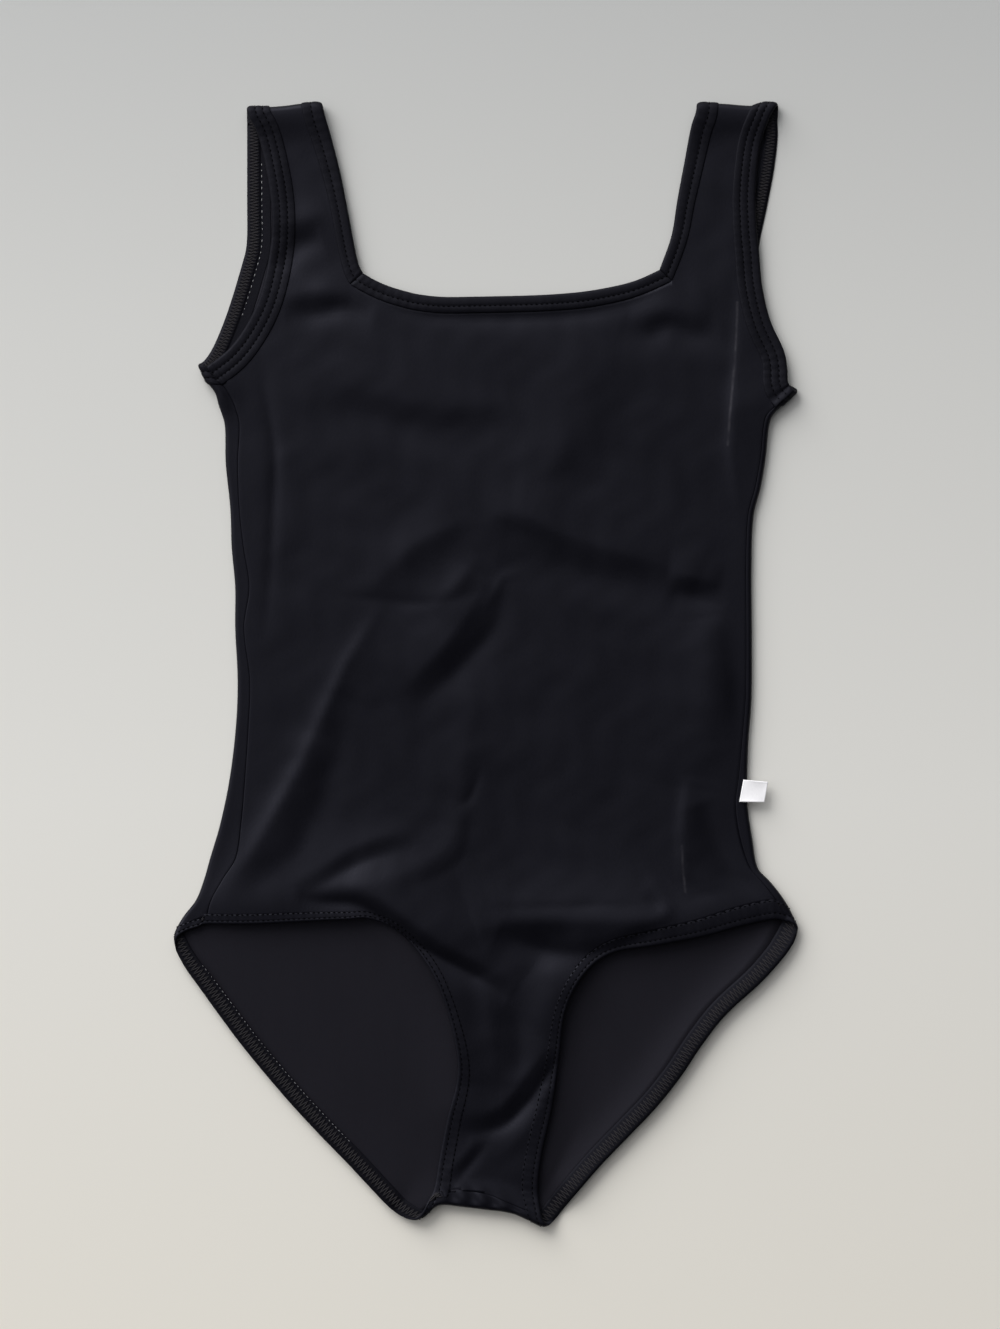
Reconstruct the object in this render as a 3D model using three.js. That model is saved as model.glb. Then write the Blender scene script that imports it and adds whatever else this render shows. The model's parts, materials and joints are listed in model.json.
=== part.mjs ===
// A tank leotard with a square neck, laid flat on its back with the front up.
// X runs to the right of the layout, Y from the crotch to the shoulders and Z up from the surface.
// Each piece is drawn as a flat pattern, then laid in space ply by ply. Sizes are in millimetres.
import * as THREE from 'three';

// Driving sizes
const PLY = 1.0; // wall of one ply of cloth
const HALF = PLY / 2;
const SEAM_GAP = 0.4; // between the pieces of a seam
const PLY_SPACE = 2.5; // from the middle of the back ply to the middle of the front one
const LEFT_ROLL = 1.6; // radius of the left side fold, at the middle of the ply
const RIGHT_ROLL = 1.9;
const CROTCH_ROLL = 2.0;
const SHOULDER_ROLL = 3.0;
const FOLD_SLOPE = 14; // how far a fold's height carries into the front
const SHOULDER_Y = 318.6; // reach of the shoulder folds at the middle of the ply
const UNDER_SHOULDER = 6; // length of front ply under the shoulder fold
const SHOULDER_CENTRE = SHOULDER_Y - SHOULDER_ROLL;
const SHOULDER_END = SHOULDER_CENTRE + Math.PI * SHOULDER_ROLL + UNDER_SHOULDER;
const BACK_TOP = SHOULDER_CENTRE - UNDER_SHOULDER - SEAM_GAP;
const MEET_SPACE = 0.8; // between the two last stations of a loop at a seam
const LEAD_REACH = 24; // how far back an edge is led towards its seam
const MITRE_GAP = 0.22; // along the edge, at each side of a neck mitre
const STRIP_TOP = { left: -158, right: -174 }; // where the hips end and the crotch strip starts
const BACK_STRAP_ROOT = 206;
const SCOOP_TOP = BACK_STRAP_ROOT - 8;
const CHEST_DROP = 6; // from a neck corner to the root of its strap, at the armhole

// Ends of the front leg hems, from the outer edge to the inner one
const CROTCH_ENDS = { left: { outer: -34.5, inner: -24.2 }, right: { outer: 31.4, inner: 21.6 } };
const HIP_END = { outer: -147, inner: -135 };

// Mesh steps
const FINE_STEP = 0.4;
const ROLL_STEPS = 4;
const WELD = 0.02; // points nearer than this are one
const CORNER_POWER = 8; // how soon a seam leaves its corner for its own line

// Sections of the side folds: the outline of the layout, and the side seam lying on the front
const LEFT_SIDE = [
  { y: 190, fold: -182.0, seam: -176.0 },
  { y: 168, fold: -164.5, seam: -159.5 },
  { y: 161, fold: -159.9, seam: -155.2 },
  { y: 154, fold: -154.6, seam: -150.2 },
  { y: 147, fold: -152.6, seam: -146.0 },
  { y: 136, fold: -149.2, seam: -142.4 },
  { y: 114, fold: -148.6, seam: -142.4 },
  { y: 88, fold: -146.0, seam: -141.0 },
  { y: 66, fold: -145.2, seam: -138.4 },
  { y: 43, fold: -143.2, seam: -135.0 },
  { y: 20, fold: -143.2, seam: -138.0 },
  { y: -10, fold: -141.8, seam: -134.6 },
  { y: -36, fold: -142.8, seam: -135.4 },
  { y: -66, fold: -146.4, seam: -137.4 },
  { y: -92, fold: -151.8, seam: -139.6 },
  { y: -111, fold: -157.4, seam: -142.6 },
  { y: -123, fold: -160.8, seam: -150.0 },
  { y: -135, fold: -165.4, seam: -156.6 },
  { y: -145, fold: -173.0, seam: -159.0 },
  { y: -154, fold: -177.4, seam: -159.8 },
  { y: -163, fold: -177.6, seam: -160.4 },
  { y: -176, fold: -184.0, seam: -170.0 },
];
const RIGHT_SIDE = [
  { y: 176, fold: 192.0, seam: 186.0 },
  { y: 154, fold: 176.0, seam: 171.4 },
  { y: 148, fold: 170.0, seam: 165.6 },
  { y: 141, fold: 163.0, seam: 158.8 },
  { y: 134, fold: 160.8, seam: 157.0 },
  { y: 118, fold: 159.2, seam: 155.8 },
  { y: 100, fold: 156.2, seam: 152.8 },
  { y: 84, fold: 152.2, seam: 148.8 },
  { y: 55, fold: 151.0, seam: 147.6 },
  { y: 15, fold: 151.2, seam: 147.8 },
  { y: -20, fold: 151.0, seam: 147.4 },
  { y: -45, fold: 149.2, seam: 145.4 },
  { y: -65, fold: 148.6, seam: 143.6 },
  { y: -81, fold: 148.7, seam: 141.8 },
  { y: -100, fold: 151.4, seam: 144.6 },
  { y: -117, fold: 154.6, seam: 150.4 },
  { y: -124, fold: 161.0, seam: 156.4 },
  { y: -130, fold: 166.0, seam: 161.4 },
  { y: -137, fold: 170.8, seam: 166.4 },
  { y: -144, fold: 174.4, seam: 170.2 },
  { y: -151, fold: 177.2, seam: 172.8 },
  { y: -159, fold: 178.4, seam: 173.6 },
  { y: -172, fold: 186.0, seam: 180.0 },
];
// Sections of the bottom fold, from left to right
const CROTCH = [
  { x: -60, fold: -306.0, seam: -300.0 },
  { x: -50, fold: -313.8, seam: -307.4 },
  { x: -43, fold: -316.6, seam: -310.0 },
  { x: -36, fold: -315.2, seam: -308.8 },
  { x: -29, fold: -309.4, seam: -302.0 },
  { x: -24, fold: -308.2, seam: -299.8 },
  { x: -15, fold: -309.2, seam: -299.2 },
  { x: 2, fold: -311.2, seam: -302.4 },
  { x: 14, fold: -313.0, seam: -307.6 },
  { x: 24, fold: -317.0, seam: -311.6 },
  { x: 32, fold: -320.4, seam: -314.4 },
  { x: 38, fold: -318.4, seam: -312.8 },
  { x: 46, fold: -312.0, seam: -306.0 },
  { x: 56, fold: -304.0, seam: -298.0 },
];

// Outer edges of the pattern with the width of binding or hem there, as x, y, width
const ARMHOLE_LEFT_FRONT = [
  [-158.6, 168.8, 14.0],
  [-146.3, 179.0, 14.0],
  [-136.4, 192.7, 14.0],
  [-129.0, 208.7, 14.0],
  [-124.5, 227.3, 14.0],
  [-122.2, 245.8, 13.6],
  [-122.8, 263.1, 13.6],
  [-125.9, 282.9, 13.4],
  [-130.2, 301.5, 13.0],
  [-134.8, 312.0, 13.0],
  [-136.4, 321.0, 13.0],
  [-136.4, SHOULDER_END, 13.0],
];
const ARMHOLE_LEFT_BACK = [
  [-136.4, BACK_TOP, 13.0],
  [-136.4, 290.0, 13.4],
  [-136.4, 264.0, 13.6],
  [-136.6, 240.0, 14.0],
  [-139.6, 226.0, 14.0],
  [-149.2, 195.5, 14.0],
  [-159.6, 173.6, 14.0],
  [-171.6, 167.4, 14.0],
];
const ARMHOLE_RIGHT_FRONT = [
  [175.2, 155.0, 15.0],
  [171.6, 159.4, 14.4],
  [171.0, 168.0, 14.0],
  [169.0, 178.0, 14.0],
  [161.4, 195.0, 14.0],
  [156.9, 214.0, 14.0],
  [155.2, 233.0, 14.0],
  [153.6, 250.0, 13.6],
  [153.2, 268.0, 13.4],
  [155.6, 293.0, 13.0],
  [160.6, 309.0, 13.0],
  [165.8, 320.0, 13.0],
  [165.8, SHOULDER_END, 13.0],
];
const ARMHOLE_RIGHT_BACK = [
  [165.8, BACK_TOP, 13.0],
  [165.8, 298.0, 13.4],
  [163.6, 280.0, 13.6],
  [159.4, 258.0, 14.0],
  [155.4, 238.0, 14.0],
  [154.4, 218.0, 14.0],
  [157.4, 196.0, 14.0],
  [164.4, 174.0, 14.0],
  [171.0, 160.4, 14.6],
  [184.2, 152.0, 15.0],
];
const NECK_LEFT = [
  [-70.2, 221.7, 9.4],
  [-73.6, 230.0, 9.6],
  [-79.5, 260.6, 9.6],
  [-83.2, 279.1, 10.4],
  [-88.2, 298.9, 11.4],
  [-91.9, 312.0, 12.2],
  [-93.4, 322.0, 12.2],
  [-93.4, SHOULDER_END, 12.2],
];
const NECK_RIGHT = [
  [98.4, 223.6, 9.0],
  [105.2, 243.0, 9.6],
  [108.6, 263.6, 10.4],
  [112.4, 284.0, 11.4],
  [116.2, 304.4, 12.4],
  [118.8, 313.0, 12.6],
  [119.6, 322.0, 12.6],
  [119.6, SHOULDER_END, 12.6],
];
const NECK_FRONT = [
  [-70.2, 221.7, 9.4],
  [-63.0, 217.6, 9.4],
  [-55.0, 214.2, 9.4],
  [-46.5, 211.6, 9.4],
  [-37.9, 209.6, 9.4],
  [-24.0, 208.2, 9.4],
  [-4.0, 208.4, 9.4],
  [22.0, 209.0, 9.4],
  [39.0, 209.8, 9.4],
  [56.2, 211.4, 9.4],
  [73.2, 214.4, 9.2],
  [86.0, 218.0, 9.0],
  [98.4, 223.6, 9.0],
];
const NECK_BACK = [
  [-93.4, BACK_TOP, 12.2],
  [-93.4, 298.0, 12.0],
  [-91.0, 282.0, 11.0],
  [-86.0, 255.0, 10.0],
  [-78.0, 225.0, 10.0],
  [-67.0, 203.0, 10.0],
  [-48.0, 188.0, 10.0],
  [-18.0, 177.0, 10.0],
  [14.0, 174.0, 10.0],
  [46.0, 177.0, 10.0],
  [76.0, 188.0, 10.0],
  [95.0, 203.0, 10.0],
  [106.0, 225.0, 10.0],
  [113.0, 255.0, 10.0],
  [117.6, 282.0, 11.0],
  [119.6, 298.0, 12.0],
  [119.6, BACK_TOP, 12.6],
];
const LEG_LEFT_FRONT = [
  [-158.8, -148.6, 6.0],
  [-133.8, -148.5, 6.0],
  [-107.6, -147.2, 5.6],
  [-81.4, -145.9, 4.6],
  [-66.0, -145.6, 4.0],
  [-48.7, -153.8, 4.0],
  [-31.7, -174.7, 5.0],
  [-21.2, -202.2, 6.0],
  [-16.4, -232.0, 7.4],
  [-22.5, -259.8, 8.6],
  [-27.1, -283.3, 9.0],
  [-30.0, -299.0, 9.6],
  [-34.5, -307.0, 10.0],
];
const LEG_LEFT_BACK = [
  [-37.0, -322.6, 10.0],
  [-50.2, -315.0, 10.0],
  [-61.8, -303.2, 10.2],
  [-77.8, -286.1, 10.2],
  [-94.4, -269.0, 10.2],
  [-110.3, -251.9, 10.2],
  [-125.1, -234.8, 10.2],
  [-139.1, -217.7, 10.2],
  [-151.9, -200.6, 10.2],
  [-164.2, -183.5, 9.8],
  [-170.4, -175.0, 9.2],
  [-175.4, -166.4, 8.6],
  [-179.0, -158.4, 7.8],
  [-184.0, -152.6, 6.8],
  [-190.6, -150.0, 6.0],
  [-197.2, -149.0, 6.0],
];
const LEG_RIGHT_FRONT = [
  [172.0, -146.8, 12.0],
  [162.7, -146.0, 12.0],
  [143.9, -149.9, 11.6],
  [122.0, -155.7, 10.6],
  [97.0, -160.4, 9.6],
  [71.1, -165.1, 7.6],
  [55.2, -177.5, 6.6],
  [45.0, -197.8, 6.6],
  [41.3, -225.5, 8.0],
  [37.7, -251.6, 9.6],
  [31.9, -277.8, 10.0],
  [29.4, -298.0, 10.0],
  [32.0, -314.0, 10.0],
];
const LEG_RIGHT_BACK = [
  [32.4, -328.6, 10.0],
  [41.0, -314.8, 10.0],
  [49.9, -303.2, 10.2],
  [64.6, -286.1, 10.2],
  [81.0, -269.0, 10.2],
  [97.2, -252.0, 10.2],
  [110.8, -234.8, 10.2],
  [122.6, -217.2, 10.2],
  [136.0, -200.2, 10.2],
  [154.2, -183.5, 10.4],
  [162.4, -175.0, 10.6],
  [169.8, -166.4, 11.0],
  [176.0, -157.6, 11.6],
  [184.0, -148.6, 12.0],
];

// Height above the ply, across a binding or hem from its outer edge, as a share of its width
const ARMHOLE_SECTION = [
  { across: 0, rise: -0.1 },
  { across: 0.14, rise: 0.75 },
  { across: 0.34, rise: 0.1 },
  { across: 0.5, rise: 0.7 },
  { across: 0.66, rise: 0.1 },
  { across: 0.83, rise: 0.6 },
  { across: 1, rise: -0.1 },
];
const NECK_SECTION = [
  { across: 0, rise: -0.1 },
  { across: 0.26, rise: 0.7 },
  { across: 0.52, rise: 0.15 },
  { across: 0.78, rise: 0.6 },
  { across: 1, rise: -0.1 },
];
const HEM_SECTION = [
  { across: 0, rise: 0 },
  { across: 0.5, rise: 0.4 },
  { across: 1, rise: 0 },
];
const BINDING_UNDER = 0.6; // what a binding adds on the inside of the back
const HEM_UNDER = 0.6;

// Places where both plies stand off the surface: height, spread and path
const LIFTS = [
  { rise: 6, spread: 17, path: [[176, 156], [160, 143]] },
  { rise: 2, spread: 13, path: [[-165, 168], [-154, 156]] },
  { rise: 7, spread: 15, path: [[184, -160], [152, -186], [122, -217], [93, -256], [56, -300]] },
  { rise: 3, spread: 14, path: [[-184, -158], [-154, -197], [-117, -243], [-60, -305]] },
  { rise: 4, spread: 15, path: [[-46, -318], [-12, -310], [34, -322]] },
];
// Folds and creases of the front: rise (ridge) or fall (trough), its spread to the left and to the
// right of its path, and the path
const FOLDS = [
  {
    rise: 3.4, left: 9, right: 17,
    path: [[-152, -122], [-139, -105], [-126, -85], [-115, -56], [-86, -7], [-62, 34]],
  },
  { rise: -0.7, left: 9, right: 7, path: [[-148, -132], [-118, -98], [-100, -66], [-84, -30]] },
  { rise: 1.4, left: 10, right: 8, path: [[-2, 62], [30, 70], [60, 70], [94, 60], [128, 46]] },
  { rise: -0.7, left: 7, right: 8, path: [[0, 50], [54, 60], [80, 56], [106, 46], [146, 22]] },
  { rise: -0.7, left: 7, right: 9, path: [[-38, -6], [-14, 22], [10, 45]] },
  { rise: 1.6, left: 12, right: 8, path: [[-72, 34], [-48, 48], [-10, 60]] },
  { rise: 2.0, left: 12, right: 9, path: [[-98, -126], [-60, -112], [-27, -90], [-4, -54]] },
  {
    rise: 2.4, left: 9, right: 7,
    path: [[-108, -133], [-84, -127], [-58, -134], [-36, -145], [-2, -158]],
  },
  {
    rise: -0.7, left: 6, right: 7,
    path: [[-96, -134], [-64, -139], [-36, -155], [-12, -171], [8, -184], [10, -226]],
  },
  { rise: 2.2, left: 7, right: 10, path: [[6, -148], [24, -143], [54, -142], [85, -139], [106, -146]] },
  { rise: -0.7, left: 5, right: 5, path: [[8, -151], [54, -154], [94, -148]] },
  { rise: 1.6, left: 7, right: 6, path: [[90, -122], [101, -135], [103, -152]] },
  { rise: 1.8, left: 9, right: 7, path: [[111, -66], [112, -104], [111, -138]] },
  { rise: -0.6, left: 9, right: 8, path: [[116, -76], [130, -106], [158, -130]] },
  { rise: 1.2, left: 9, right: 8, path: [[120, 34], [121, -16], [119, -62]] },
  { rise: 1.2, left: 7, right: 6, path: [[135, -8], [136, -40], [134, -74]] },
  { rise: 1.8, left: 9, right: 9, path: [[-14, -198], [-6, -230], [-12, -256]] },
  { rise: -0.7, left: 7, right: 6, path: [[-12, -268], [8, -261], [24, -244], [38, -226]] },
  { rise: 2.2, left: 7, right: 9, path: [[-10, -282], [10, -268], [34, -244]] },
  { rise: 1.2, left: 4, right: 4, path: [[-16, -296], [0, -276]] },
  {
    rise: -0.5, left: 6, right: 5,
    path: [[-131, 172], [-122, 136], [-118, 112], [-121, 78], [-123, 20]],
  },
  {
    rise: 0.9, left: 6, right: 5,
    path: [[142, 206], [143, 186], [139, 140], [138, 124], [142, 90], [144, 58]],
  },
  { rise: -0.5, left: 7, right: 7, path: [[120, 307], [140, 305], [164, 308]] },
  { rise: -0.5, left: 9, right: 9, path: [[-112, 270], [-98, 248], [-110, 230]] },
  { rise: -0.4, left: 6, right: 6, path: [[-112, 200], [-88, 204], [-66, 207]] },
  { rise: -0.4, left: 6, right: 6, path: [[74, 196], [100, 193], [128, 191]] },
];
const FOLD_STEPS = 16;

// Value of one column of a table of sections at a place along it, eased between the rows
function column(rows, along, name) {
  const sorted = [...rows].sort((a, b) => a[along] - b[along]);
  const at = sorted.map((row) => row[along]);
  const value = sorted.map((row) => row[name]);
  const last = at.length - 1;
  const slope = (i) => {
    const before = Math.max(i - 1, 0);
    const after = Math.min(i + 1, last);
    return (value[after] - value[before]) / (at[after] - at[before]);
  };
  return (place) => {
    if (place <= at[0]) return value[0] + slope(0) * (place - at[0]);
    if (place >= at[last]) return value[last] + slope(last) * (place - at[last]);
    let i = 0;
    while (at[i + 1] < place) i += 1;
    const span = at[i + 1] - at[i];
    const t = (place - at[i]) / span;
    const stay = 2 * t ** 3 - 3 * t ** 2 + 1;
    const leave = t ** 3 - 2 * t ** 2 + t;
    const arrive = t ** 3 - t ** 2;
    return stay * value[i] + (1 - stay) * value[i + 1]
      + span * (leave * slope(i) + arrive * slope(i + 1));
  };
}

const leftFold = column(LEFT_SIDE, 'y', 'fold');
const leftSeam = column(LEFT_SIDE, 'y', 'seam');
const rightFold = column(RIGHT_SIDE, 'y', 'fold');
const rightSeam = column(RIGHT_SIDE, 'y', 'seam');
const crotchFold = column(CROTCH, 'x', 'fold');
const crotchSeam = column(CROTCH, 'x', 'seam');

// Where the roll of each fold starts, on the back ply
const leftCentre = (y) => leftFold(y) + HALF + LEFT_ROLL;
const rightCentre = (y) => rightFold(y) - HALF - RIGHT_ROLL;
const crotchCentre = (x) => crotchFold(x) + HALF + CROTCH_ROLL;

// A smooth curve through rows of x, y and width
function edgeCurve(rows) {
  const points = rows.map(([x, y, width]) => new THREE.Vector3(x, y, width));
  return new THREE.CatmullRomCurve3(points, false, 'catmullrom', 0.5);
}

function foldPath(fold) {
  const curve = edgeCurve(fold.path.map(([x, y]) => [x, y, 0]));
  return { ...fold, points: curve.getPoints(FOLD_STEPS) };
}
const folds = FOLDS.map(foldPath);
const lifts = LIFTS.map(foldPath);

// Nearest place on a path: its share along the path, distance and side
function nearest(points, x, y) {
  let best = { distance: Infinity };
  for (let i = 0; i < points.length - 1; i += 1) {
    const a = points[i];
    const dx = points[i + 1].x - a.x;
    const dy = points[i + 1].y - a.y;
    const t = THREE.MathUtils.clamp(((x - a.x) * dx + (y - a.y) * dy) / (dx * dx + dy * dy), 0, 1);
    const ox = x - a.x - t * dx;
    const oy = y - a.y - t * dy;
    const distance = Math.hypot(ox, oy);
    if (distance < best.distance) {
      best = { distance, share: (i + t) / (points.length - 1), left: dx * oy - dy * ox > 0 };
    }
  }
  return best;
}

// Height of the folds of the front, without the plies under it
function relief(x, y) {
  let height = 0;
  for (const fold of folds) {
    const { distance, share, left } = nearest(fold.points, x, y);
    const spread = left ? fold.left : fold.right;
    const taper = Math.sin(Math.PI * share);
    height += fold.rise * taper * Math.exp(-((distance / spread) ** 2));
  }
  return height;
}

function lift(x, y) {
  let height = 0;
  for (const place of lifts) {
    const { distance } = nearest(place.points, x, y);
    height = Math.max(height, place.rise * Math.exp(-((distance / place.spread) ** 2)));
  }
  return height;
}

// How fully a fold's own height counts at a distance from its outline
function hold(distance, roll) {
  const past = Math.max(0, distance - roll - PLY);
  return Math.exp(-((past / FOLD_SLOPE) ** 2));
}

const backHeight = (x, y) => HALF + lift(x, y);

function frontHeight(x, y) {
  const rolls = [
    { roll: LEFT_ROLL, share: hold(x - leftFold(y), LEFT_ROLL) },
    { roll: RIGHT_ROLL, share: hold(rightFold(y) - x, RIGHT_ROLL) },
    { roll: SHOULDER_ROLL, share: hold(SHOULDER_Y - y, SHOULDER_ROLL) },
    { roll: CROTCH_ROLL, share: hold(y - crotchFold(x), CROTCH_ROLL) },
  ];
  let height = PLY_SPACE;
  let free = 1;
  for (const { roll, share } of rolls) {
    height += (2 * roll - PLY_SPACE) * share;
    free *= 1 - share;
  }
  return backHeight(x, y) + height + relief(x, y) * free;
}

// The front ply: up to the shoulder, over it and back along the surface
function layFront(x, y) {
  const past = y - SHOULDER_CENTRE;
  if (past <= 0) return new THREE.Vector3(x, y, frontHeight(x, y));
  const angle = past / SHOULDER_ROLL;
  if (angle <= Math.PI) {
    const up = HALF + SHOULDER_ROLL * (1 + Math.cos(angle));
    return new THREE.Vector3(x, SHOULDER_CENTRE + SHOULDER_ROLL * Math.sin(angle), up);
  }
  return new THREE.Vector3(x, SHOULDER_CENTRE + Math.PI * SHOULDER_ROLL - past, HALF);
}

// Place and extra height after rolling a distance past the start of a fold
function rolled(past, radius) {
  const angle = past / radius;
  if (angle <= Math.PI) return { along: -radius * Math.sin(angle), up: radius * (1 - Math.cos(angle)) };
  return { along: past - Math.PI * radius, up: null };
}

// The back ply: on the surface, over the side folds and over the bottom fold
function layBack(x, y) {
  const pastLeft = leftCentre(y) - x;
  const pastRight = x - rightCentre(y);
  const pastCrotch = crotchCentre(x) - y;
  const place = new THREE.Vector3(x, y, 0);
  let up = 0;
  if (pastLeft > 0) {
    const turn = rolled(pastLeft, LEFT_ROLL);
    place.x = leftCentre(y) + turn.along;
    up = turn.up;
  } else if (pastRight > 0) {
    const turn = rolled(pastRight, RIGHT_ROLL);
    place.x = rightCentre(y) - turn.along;
    up = turn.up;
  } else if (pastCrotch > 0) {
    const turn = rolled(pastCrotch, CROTCH_ROLL);
    place.y = crotchCentre(x) + turn.along;
    up = turn.up;
  }
  place.z = up === null ? frontHeight(place.x, place.y) : backHeight(place.x, place.y) + up;
  return place;
}

// A ply of cloth as a mesh of quads, given its wall at the end
class Cloth {
  constructor() {
    this.points = [];
    this.rises = [];
    this.quads = [];
    this.ids = new Map();
  }

  id(point, rise) {
    const key = point.toArray().map((value) => Math.round(value / WELD)).join();
    if (!this.ids.has(key)) {
      this.ids.set(key, this.points.length);
      this.points.push(point);
      this.rises.push(rise);
    }
    return this.ids.get(key);
  }

  // Rows of places, each with the height that it adds to the outside
  patch(rows, flip, rises = []) {
    const ids = rows.map((row) => row.map((point, j) => this.id(point, rises[j] ?? 0)));
    for (let i = 0; i < ids.length - 1; i += 1) {
      for (let j = 0; j < ids[i].length - 1; j += 1) {
        const quad = [ids[i][j], ids[i + 1][j], ids[i + 1][j + 1], ids[i][j + 1]];
        this.quads.push(flip ? quad.reverse() : quad);
      }
    }
  }

  normals() {
    const normals = this.points.map(() => new THREE.Vector3());
    for (const [a, b, c, d] of this.quads) {
      const across = this.points[c].clone().sub(this.points[a]);
      const along = this.points[d].clone().sub(this.points[b]);
      const normal = across.cross(along);
      for (const id of [a, b, c, d]) normals[id].add(normal);
    }
    return normals.map((normal) => normal.normalize());
  }

  // The outside rises where it faces up, and a turned edge thickens the side that faces the back
  wall(under = 0) {
    const normals = this.normals();
    const count = this.points.length;
    const positions = [];
    const push = (i, distance) => {
      positions.push(...this.points[i].clone().addScaledVector(normals[i], distance).toArray());
    };
    const facing = normals.map((normal) => (1 + normal.z) / 2);
    for (let i = 0; i < count; i += 1) push(i, HALF + this.rises[i] * facing[i]);
    for (let i = 0; i < count; i += 1) push(i, -HALF - under * (1 - facing[i]));
    const index = [];
    const edges = new Set();
    for (const [a, b, c, d] of this.quads) {
      index.push(a, b, c, a, c, d);
      index.push(count + a, count + c, count + b, count + a, count + d, count + c);
      for (const [from, to] of [[a, b], [b, c], [c, d], [d, a]]) edges.add(`${from},${to}`);
    }
    for (const edge of edges) {
      const [from, to] = edge.split(',').map(Number);
      if (!edges.has(`${to},${from}`)) {
        index.push(to, from, count + from, to, count + from, count + to);
      }
    }
    const geometry = new THREE.BufferGeometry();
    geometry.setAttribute('position', new THREE.Float32BufferAttribute(positions, 3));
    geometry.setIndex(index);
    geometry.computeVertexNormals();
    return geometry;
  }
}

// Stations along an edge: place, direction into the panel and width of the binding
function stations(rows, side, lay) {
  const curve = edgeCurve(rows);
  const steps = Math.ceil(curve.getLength() / FINE_STEP);
  const all = [];
  for (let i = 0; i <= steps; i += 1) {
    const t = i / steps;
    const place = curve.getPoint(t);
    const ahead = curve.getPoint(Math.min(t + 1e-3, 1)).sub(curve.getPoint(Math.max(t - 1e-3, 0)));
    const length = Math.hypot(ahead.x, ahead.y);
    const tangent = new THREE.Vector2(ahead.x / length, ahead.y / length);
    const into = new THREE.Vector2(-tangent.y, tangent.x).multiplyScalar(side);
    all.push({ x: place.x, y: place.y, width: place.z, tangent, into, lay });
  }
  return all;
}

const at = ({ x, y, into }, distance) => new THREE.Vector2(x + into.x * distance, y + into.y * distance);
const laid = (station, distance) => {
  const place = at(station, distance);
  return station.lay(place.x, place.y);
};

// Where the panel is cut, just inside a binding or hem
const cut = (station) => at(station, station.width + SEAM_GAP);
const cutLine = (list) => list.map(cut);

// The runs of an edge in the other direction
const turned = (runs) => ({ all: Object.values(runs).flat().reverse() });

// A binding or hem through its stations, closed into a loop or open with flat ends
function binding(runs, section, under, flip, loop) {
  const cloth = new Cloth();
  const path = [...new Set(runs.flatMap(Object.values).flat())];
  const rows = path.map((station) => (
    section.map(({ across }) => laid(station, across * station.width))
  ));
  if (loop) rows.push(rows[0]);
  cloth.patch(rows, flip, section.map(({ rise }) => rise));
  return cloth.wall(under);
}

const LEFT = 1;
const RIGHT = -1;
const edgeStations = {
  armholeLeftFront: stations(ARMHOLE_LEFT_FRONT, RIGHT, layFront),
  armholeLeftBack: stations(ARMHOLE_LEFT_BACK, LEFT, layBack),
  armholeRightFront: stations(ARMHOLE_RIGHT_FRONT, LEFT, layFront),
  armholeRightBack: stations(ARMHOLE_RIGHT_BACK, RIGHT, layBack),
  neckLeft: stations(NECK_LEFT, LEFT, layFront),
  neckFront: stations(NECK_FRONT, RIGHT, layFront),
  neckRight: stations(NECK_RIGHT, RIGHT, layFront),
  neckBack: stations(NECK_BACK, RIGHT, layBack),
  legLeftFront: stations(LEG_LEFT_FRONT, LEFT, layFront),
  legLeftBack: stations(LEG_LEFT_BACK, RIGHT, layBack),
  legRightFront: stations(LEG_RIGHT_FRONT, RIGHT, layFront),
  legRightBack: stations(LEG_RIGHT_BACK, LEFT, layBack),
};

const lastOf = (list) => list[list.length - 1];
const shift = (station, distance) => {
  station.x += station.tangent.x * distance;
  station.y += station.tangent.y * distance;
};

// Cut two edges that meet at a corner along their mitre, each moved away from it along itself
function mitre(first, firstAway, second, secondAway) {
  const into = first.into.clone().add(second.into).divideScalar(1 + first.into.dot(second.into));
  const corner = new THREE.Vector2(first.x, first.y).addScaledVector(into, first.width + SEAM_GAP);
  shift(first, firstAway * MITRE_GAP);
  shift(second, secondAway * MITRE_GAP);
  first.into = into;
  second.into = into.clone();
  return corner;
}

// Distance past the start of a fold, on the back ply, of a place seen on the front
function unrolled(reach, radius) {
  if (reach >= 0) return Math.PI * radius + reach;
  return radius * (Math.PI - Math.asin(Math.min(1, -reach / radius)));
}
const unrollLeft = ({ x, y }, gap) => {
  const past = unrolled(x - gap - leftCentre(y), LEFT_ROLL);
  return new THREE.Vector2(leftCentre(y) - past, y);
};
const unrollRight = ({ x, y }, gap) => {
  const past = unrolled(rightCentre(y) - x - gap, RIGHT_ROLL);
  return new THREE.Vector2(rightCentre(y) + past, y);
};
const unrollCrotch = ({ x, y }, gap) => {
  const past = unrolled(y - gap - crotchCentre(x), CROTCH_ROLL);
  return new THREE.Vector2(x, crotchCentre(x) - past);
};

// Lead the last stretch of an edge, listed from its end, so that it ends between two places
function lead(list, outerEnd, innerEnd) {
  const offOuter = outerEnd.clone().sub(at(list[0], 0));
  const offInner = innerEnd.clone().sub(cut(list[0]));
  const count = Math.round(LEAD_REACH / FINE_STEP);
  list.slice(0, count).forEach((station, i) => {
    const share = THREE.MathUtils.smoothstep(1 - i / count, 0, 1);
    const outer = at(station, 0).addScaledVector(offOuter, share);
    const inner = cut(station).addScaledVector(offInner, share);
    const across = inner.clone().sub(outer);
    station.x = outer.x;
    station.y = outer.y;
    station.width = across.length() - SEAM_GAP;
    station.into = across.normalize();
  });
}

// Lead an edge on the back to the same edge on the front
function meet(back, front, unroll) {
  lead(back, unroll(at(front, 0), MEET_SPACE), unroll(cut(front), MEET_SPACE));
}

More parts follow.
